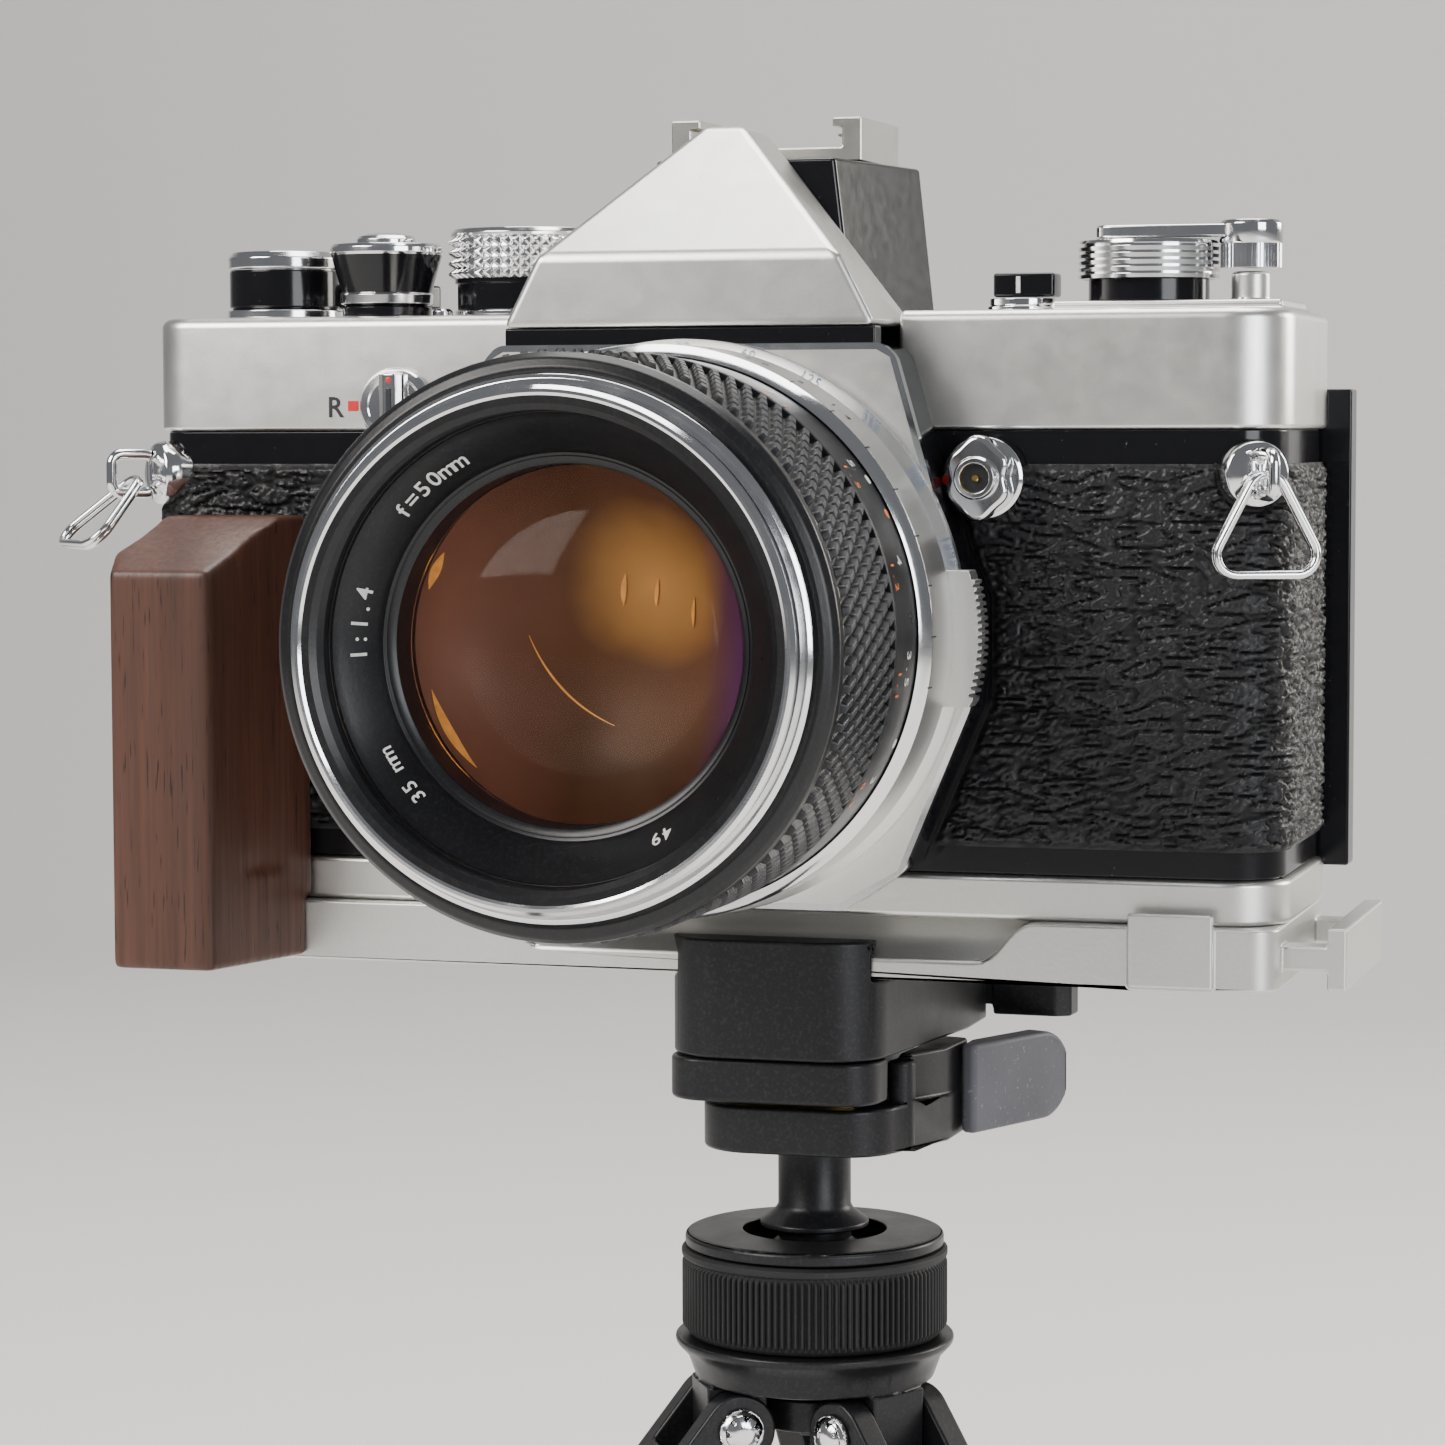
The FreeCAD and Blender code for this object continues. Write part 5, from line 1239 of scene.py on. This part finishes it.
def make_sync_socket():
    x, z = 32.3, 50.0
    node, lobes = "sync_socket", 6
    outline = []
    for step in range(96):
        turn = 2 * math.pi * step / 96
        radius = 4.0 + 0.55 * math.cos(2 * turn) + 0.22 * math.cos(lobes * turn)
        upright = turn + math.pi / 2
        outline.append((radius * math.cos(upright), radius * math.sin(upright)))
    prism("sync_socket_flower", outline, 3.1, lambda u, v, w: cam(x + u, -3.1 - w, z + v), node,
          "bright_chrome", 0.6, 4, True)
    for label, profile, look, steps, edge in (
            ("base", [(0, -0.4), (4.6, -0.4), (4.6, 2.9), (4.2, 3.2), (0, 3.2)],
             "bright_chrome", 96, 0.1),
            ("nose", [(1.5, 6.1), (2.3, 6.1), (2.45, 6.9), (2.2, 7.3), (1.7, 7.3), (1.5, 6.9)],
             "bright_chrome", 64, 0.05),
            ("hole", [(0, 6.15), (1.6, 6.15), (1.6, 6.35), (0, 6.35)], "deep_black", 48, 0),
            ("pin", [(0, 6.3), (0.45, 6.3), (0.45, 6.8), (0.3, 7.0), (0, 7.0)], "brass", 32, 0)):
        lathe(f"sync_socket_{label}", profile, cam(x, 0, z), FRONT, node, look, steps, edge)
    round_mark("sync_dot", cam(x - 4.0, -3.2, z - 0.2), FRONT, 0.6, node, "red_paint")


def make_strap_rings():
    """Triangular split rings of two strands, each hanging from its lug; the left one is lifted."""
    lug_z, top, drop, half_base, bend, overlap = 48.1, 4.72, 8.7, 7.2, 2.2, 0.14
    lugs = (("strap_ring_right", 61.85, 1.26, -62.0, 4.8, 0.0, 0.5),
            ("strap_ring_left", -68.4, 1.8, 225.0, 5.85, 46.0, 0.4))
    for node, x, y, azimuth, out, lift, wire in lugs:
        turn, tilt = math.radians(azimuth), math.radians(lift)
        away = Vector((math.cos(turn), math.sin(turn), 0))
        pivot = Vector((x, y, lug_z)) + away * out
        along = Vector((-away.y, away.x, 0))
        down = Vector((0, 0, -1)) * math.cos(tilt) + away * math.sin(tilt)
        face = along.cross(down)
        foot, half = pivot + down * drop, along * half_base
        loop = rounded_loop([pivot - down * top, foot - half, foot + half], bend)
        for strand, offset in (("front", overlap - wire), ("back", wire - overlap)):
            path = [cam(*(spot + face * offset)) for spot in loop]
            tube(f"{node}_{strand}", path, wire, node, "bright_chrome")


# ---------------------------------------------------------------- finder and shoe details

def make_finder_details():
    """The black strip across the front of the finder and the springs under the shoe's rails."""
    block("hump_strip", (-21.7, -9.95, 64.6), (21.7, -7.0, 66.95), "prism_cover",
          "black_gloss", 0.3)
    low, _ = local_box("accessory_shoe")
    length, width = 14.5, 1.5
    strip = round_outline([(0, 0), (length, 0), (length, width), (0, width)], 0.3)
    for side in (-1, 1):
        x = side * 8.55

        def place(u, v, w, x=x):
            bow = 0.35 * math.sin(math.pi * u / length)
            return cam(x + side * v * 0.45, low.y + 1.2 + u, low.z + 3.0 + w + bow)

        prism(f"shoe_spring_{'left' if side < 0 else 'right'}", strip, 0.3, place,
              "accessory_shoe", "spring_steel", 0.05)


# ---------------------------------------------------------------- floor, light and camera

def make_studio():
    floor_material = Finish("floor_paper", (0.80, 0.79, 0.77), 0.75)
    floor_material.bump(floor_material.noise(300.0, 3.0), 0.05, 0.4)
    data = bpy.data.meshes.new("floor")
    half, depth, rise, bend = 2.6, 1.6, 2.2, 0.5
    profile = [(-2.2, 0.0), (depth - bend, 0.0)]
    profile += [(depth - bend + bend * math.sin(a), bend - bend * math.cos(a))
                for a in (math.pi / 2 * i / 16 for i in range(1, 17))]
    profile.append((depth, rise))
    vertices = [(side * half, y, z - 0.0003) for side in (-1, 1) for y, z in profile]
    count = len(profile)
    data.from_pydata(vertices, [], [(i, i + 1, count + i + 1, count + i) for i in range(count - 1)])
    for polygon in data.polygons:
        polygon.use_smooth = True
    data.materials.append(floor_material.material)
    add_object("floor", data)
    world = bpy.data.worlds.new("soft_room")
    world.use_nodes = True
    background = world.node_tree.nodes["Background"].inputs
    background["Color"].default_value = (0.80, 0.83, 0.88, 1)
    background["Strength"].default_value = 0.20
    bpy.context.scene.world = world
    for name, place, size, watts, color in (
            ("key", (-0.75, -0.95, 0.95), 0.8, 25.0, (1.0, 0.97, 0.93)),
            ("fill", (0.95, -0.8, 0.45), 0.6, 9.0, (0.93, 0.96, 1.0)),
            ("top", (0.0, 0.25, 1.25), 0.8, 15.0, (1.0, 0.99, 0.97)),
            ("rim", (0.85, 0.75, 0.5), 0.5, 9.0, (1.0, 0.95, 0.88))):
        soft_light(name, place, size, watts, color)


def soft_light(name, place, size, watts, color):
    light = bpy.data.lights.new(name, "AREA")
    light.shape = "SQUARE"
    light.size = size
    light.energy = watts
    light.color = color
    holder = add_object(name, light)
    holder.location = place
    aim = Vector((0, 0, 0.2)) - Vector(place)
    holder.rotation_mode = "QUATERNION"
    holder.rotation_quaternion = aim.to_track_quat("-Z", "Y")


def make_camera():
    place, lens = (0.12845, -0.46774, 0.22156), 102.2
    yaw, pitch, roll = math.radians(16.64), math.radians(-4.1), math.radians(-0.14)
    data = bpy.data.cameras.new("view")
    data.sensor_width = 36.0
    data.lens = lens
    data.clip_start = 0.01
    data.clip_end = 20.0
    holder = add_object("view", data)
    holder.location = place
    level = math.cos(pitch)
    look = Vector((-math.sin(yaw) * level, math.cos(yaw) * level, math.sin(pitch)))
    rolled = Matrix.Rotation(roll, 4, "Z").to_quaternion()
    holder.rotation_mode = "QUATERNION"
    holder.rotation_quaternion = look.to_track_quat("-Z", "Y") @ rolled
    bpy.context.scene.camera = holder


for make in (finish_cad_pieces, make_lock_ring, make_leather, make_door, make_grip,
             make_front_panel, make_lens_rings, make_glass, make_lens_lettering, make_focus_ring,
             make_speed_ring, make_wind_lever, make_release, make_film_dial, make_rewind,
             make_meter_switch, make_front_controls, make_strap_rings, make_finder_details,
             make_studio, make_camera):
    make()
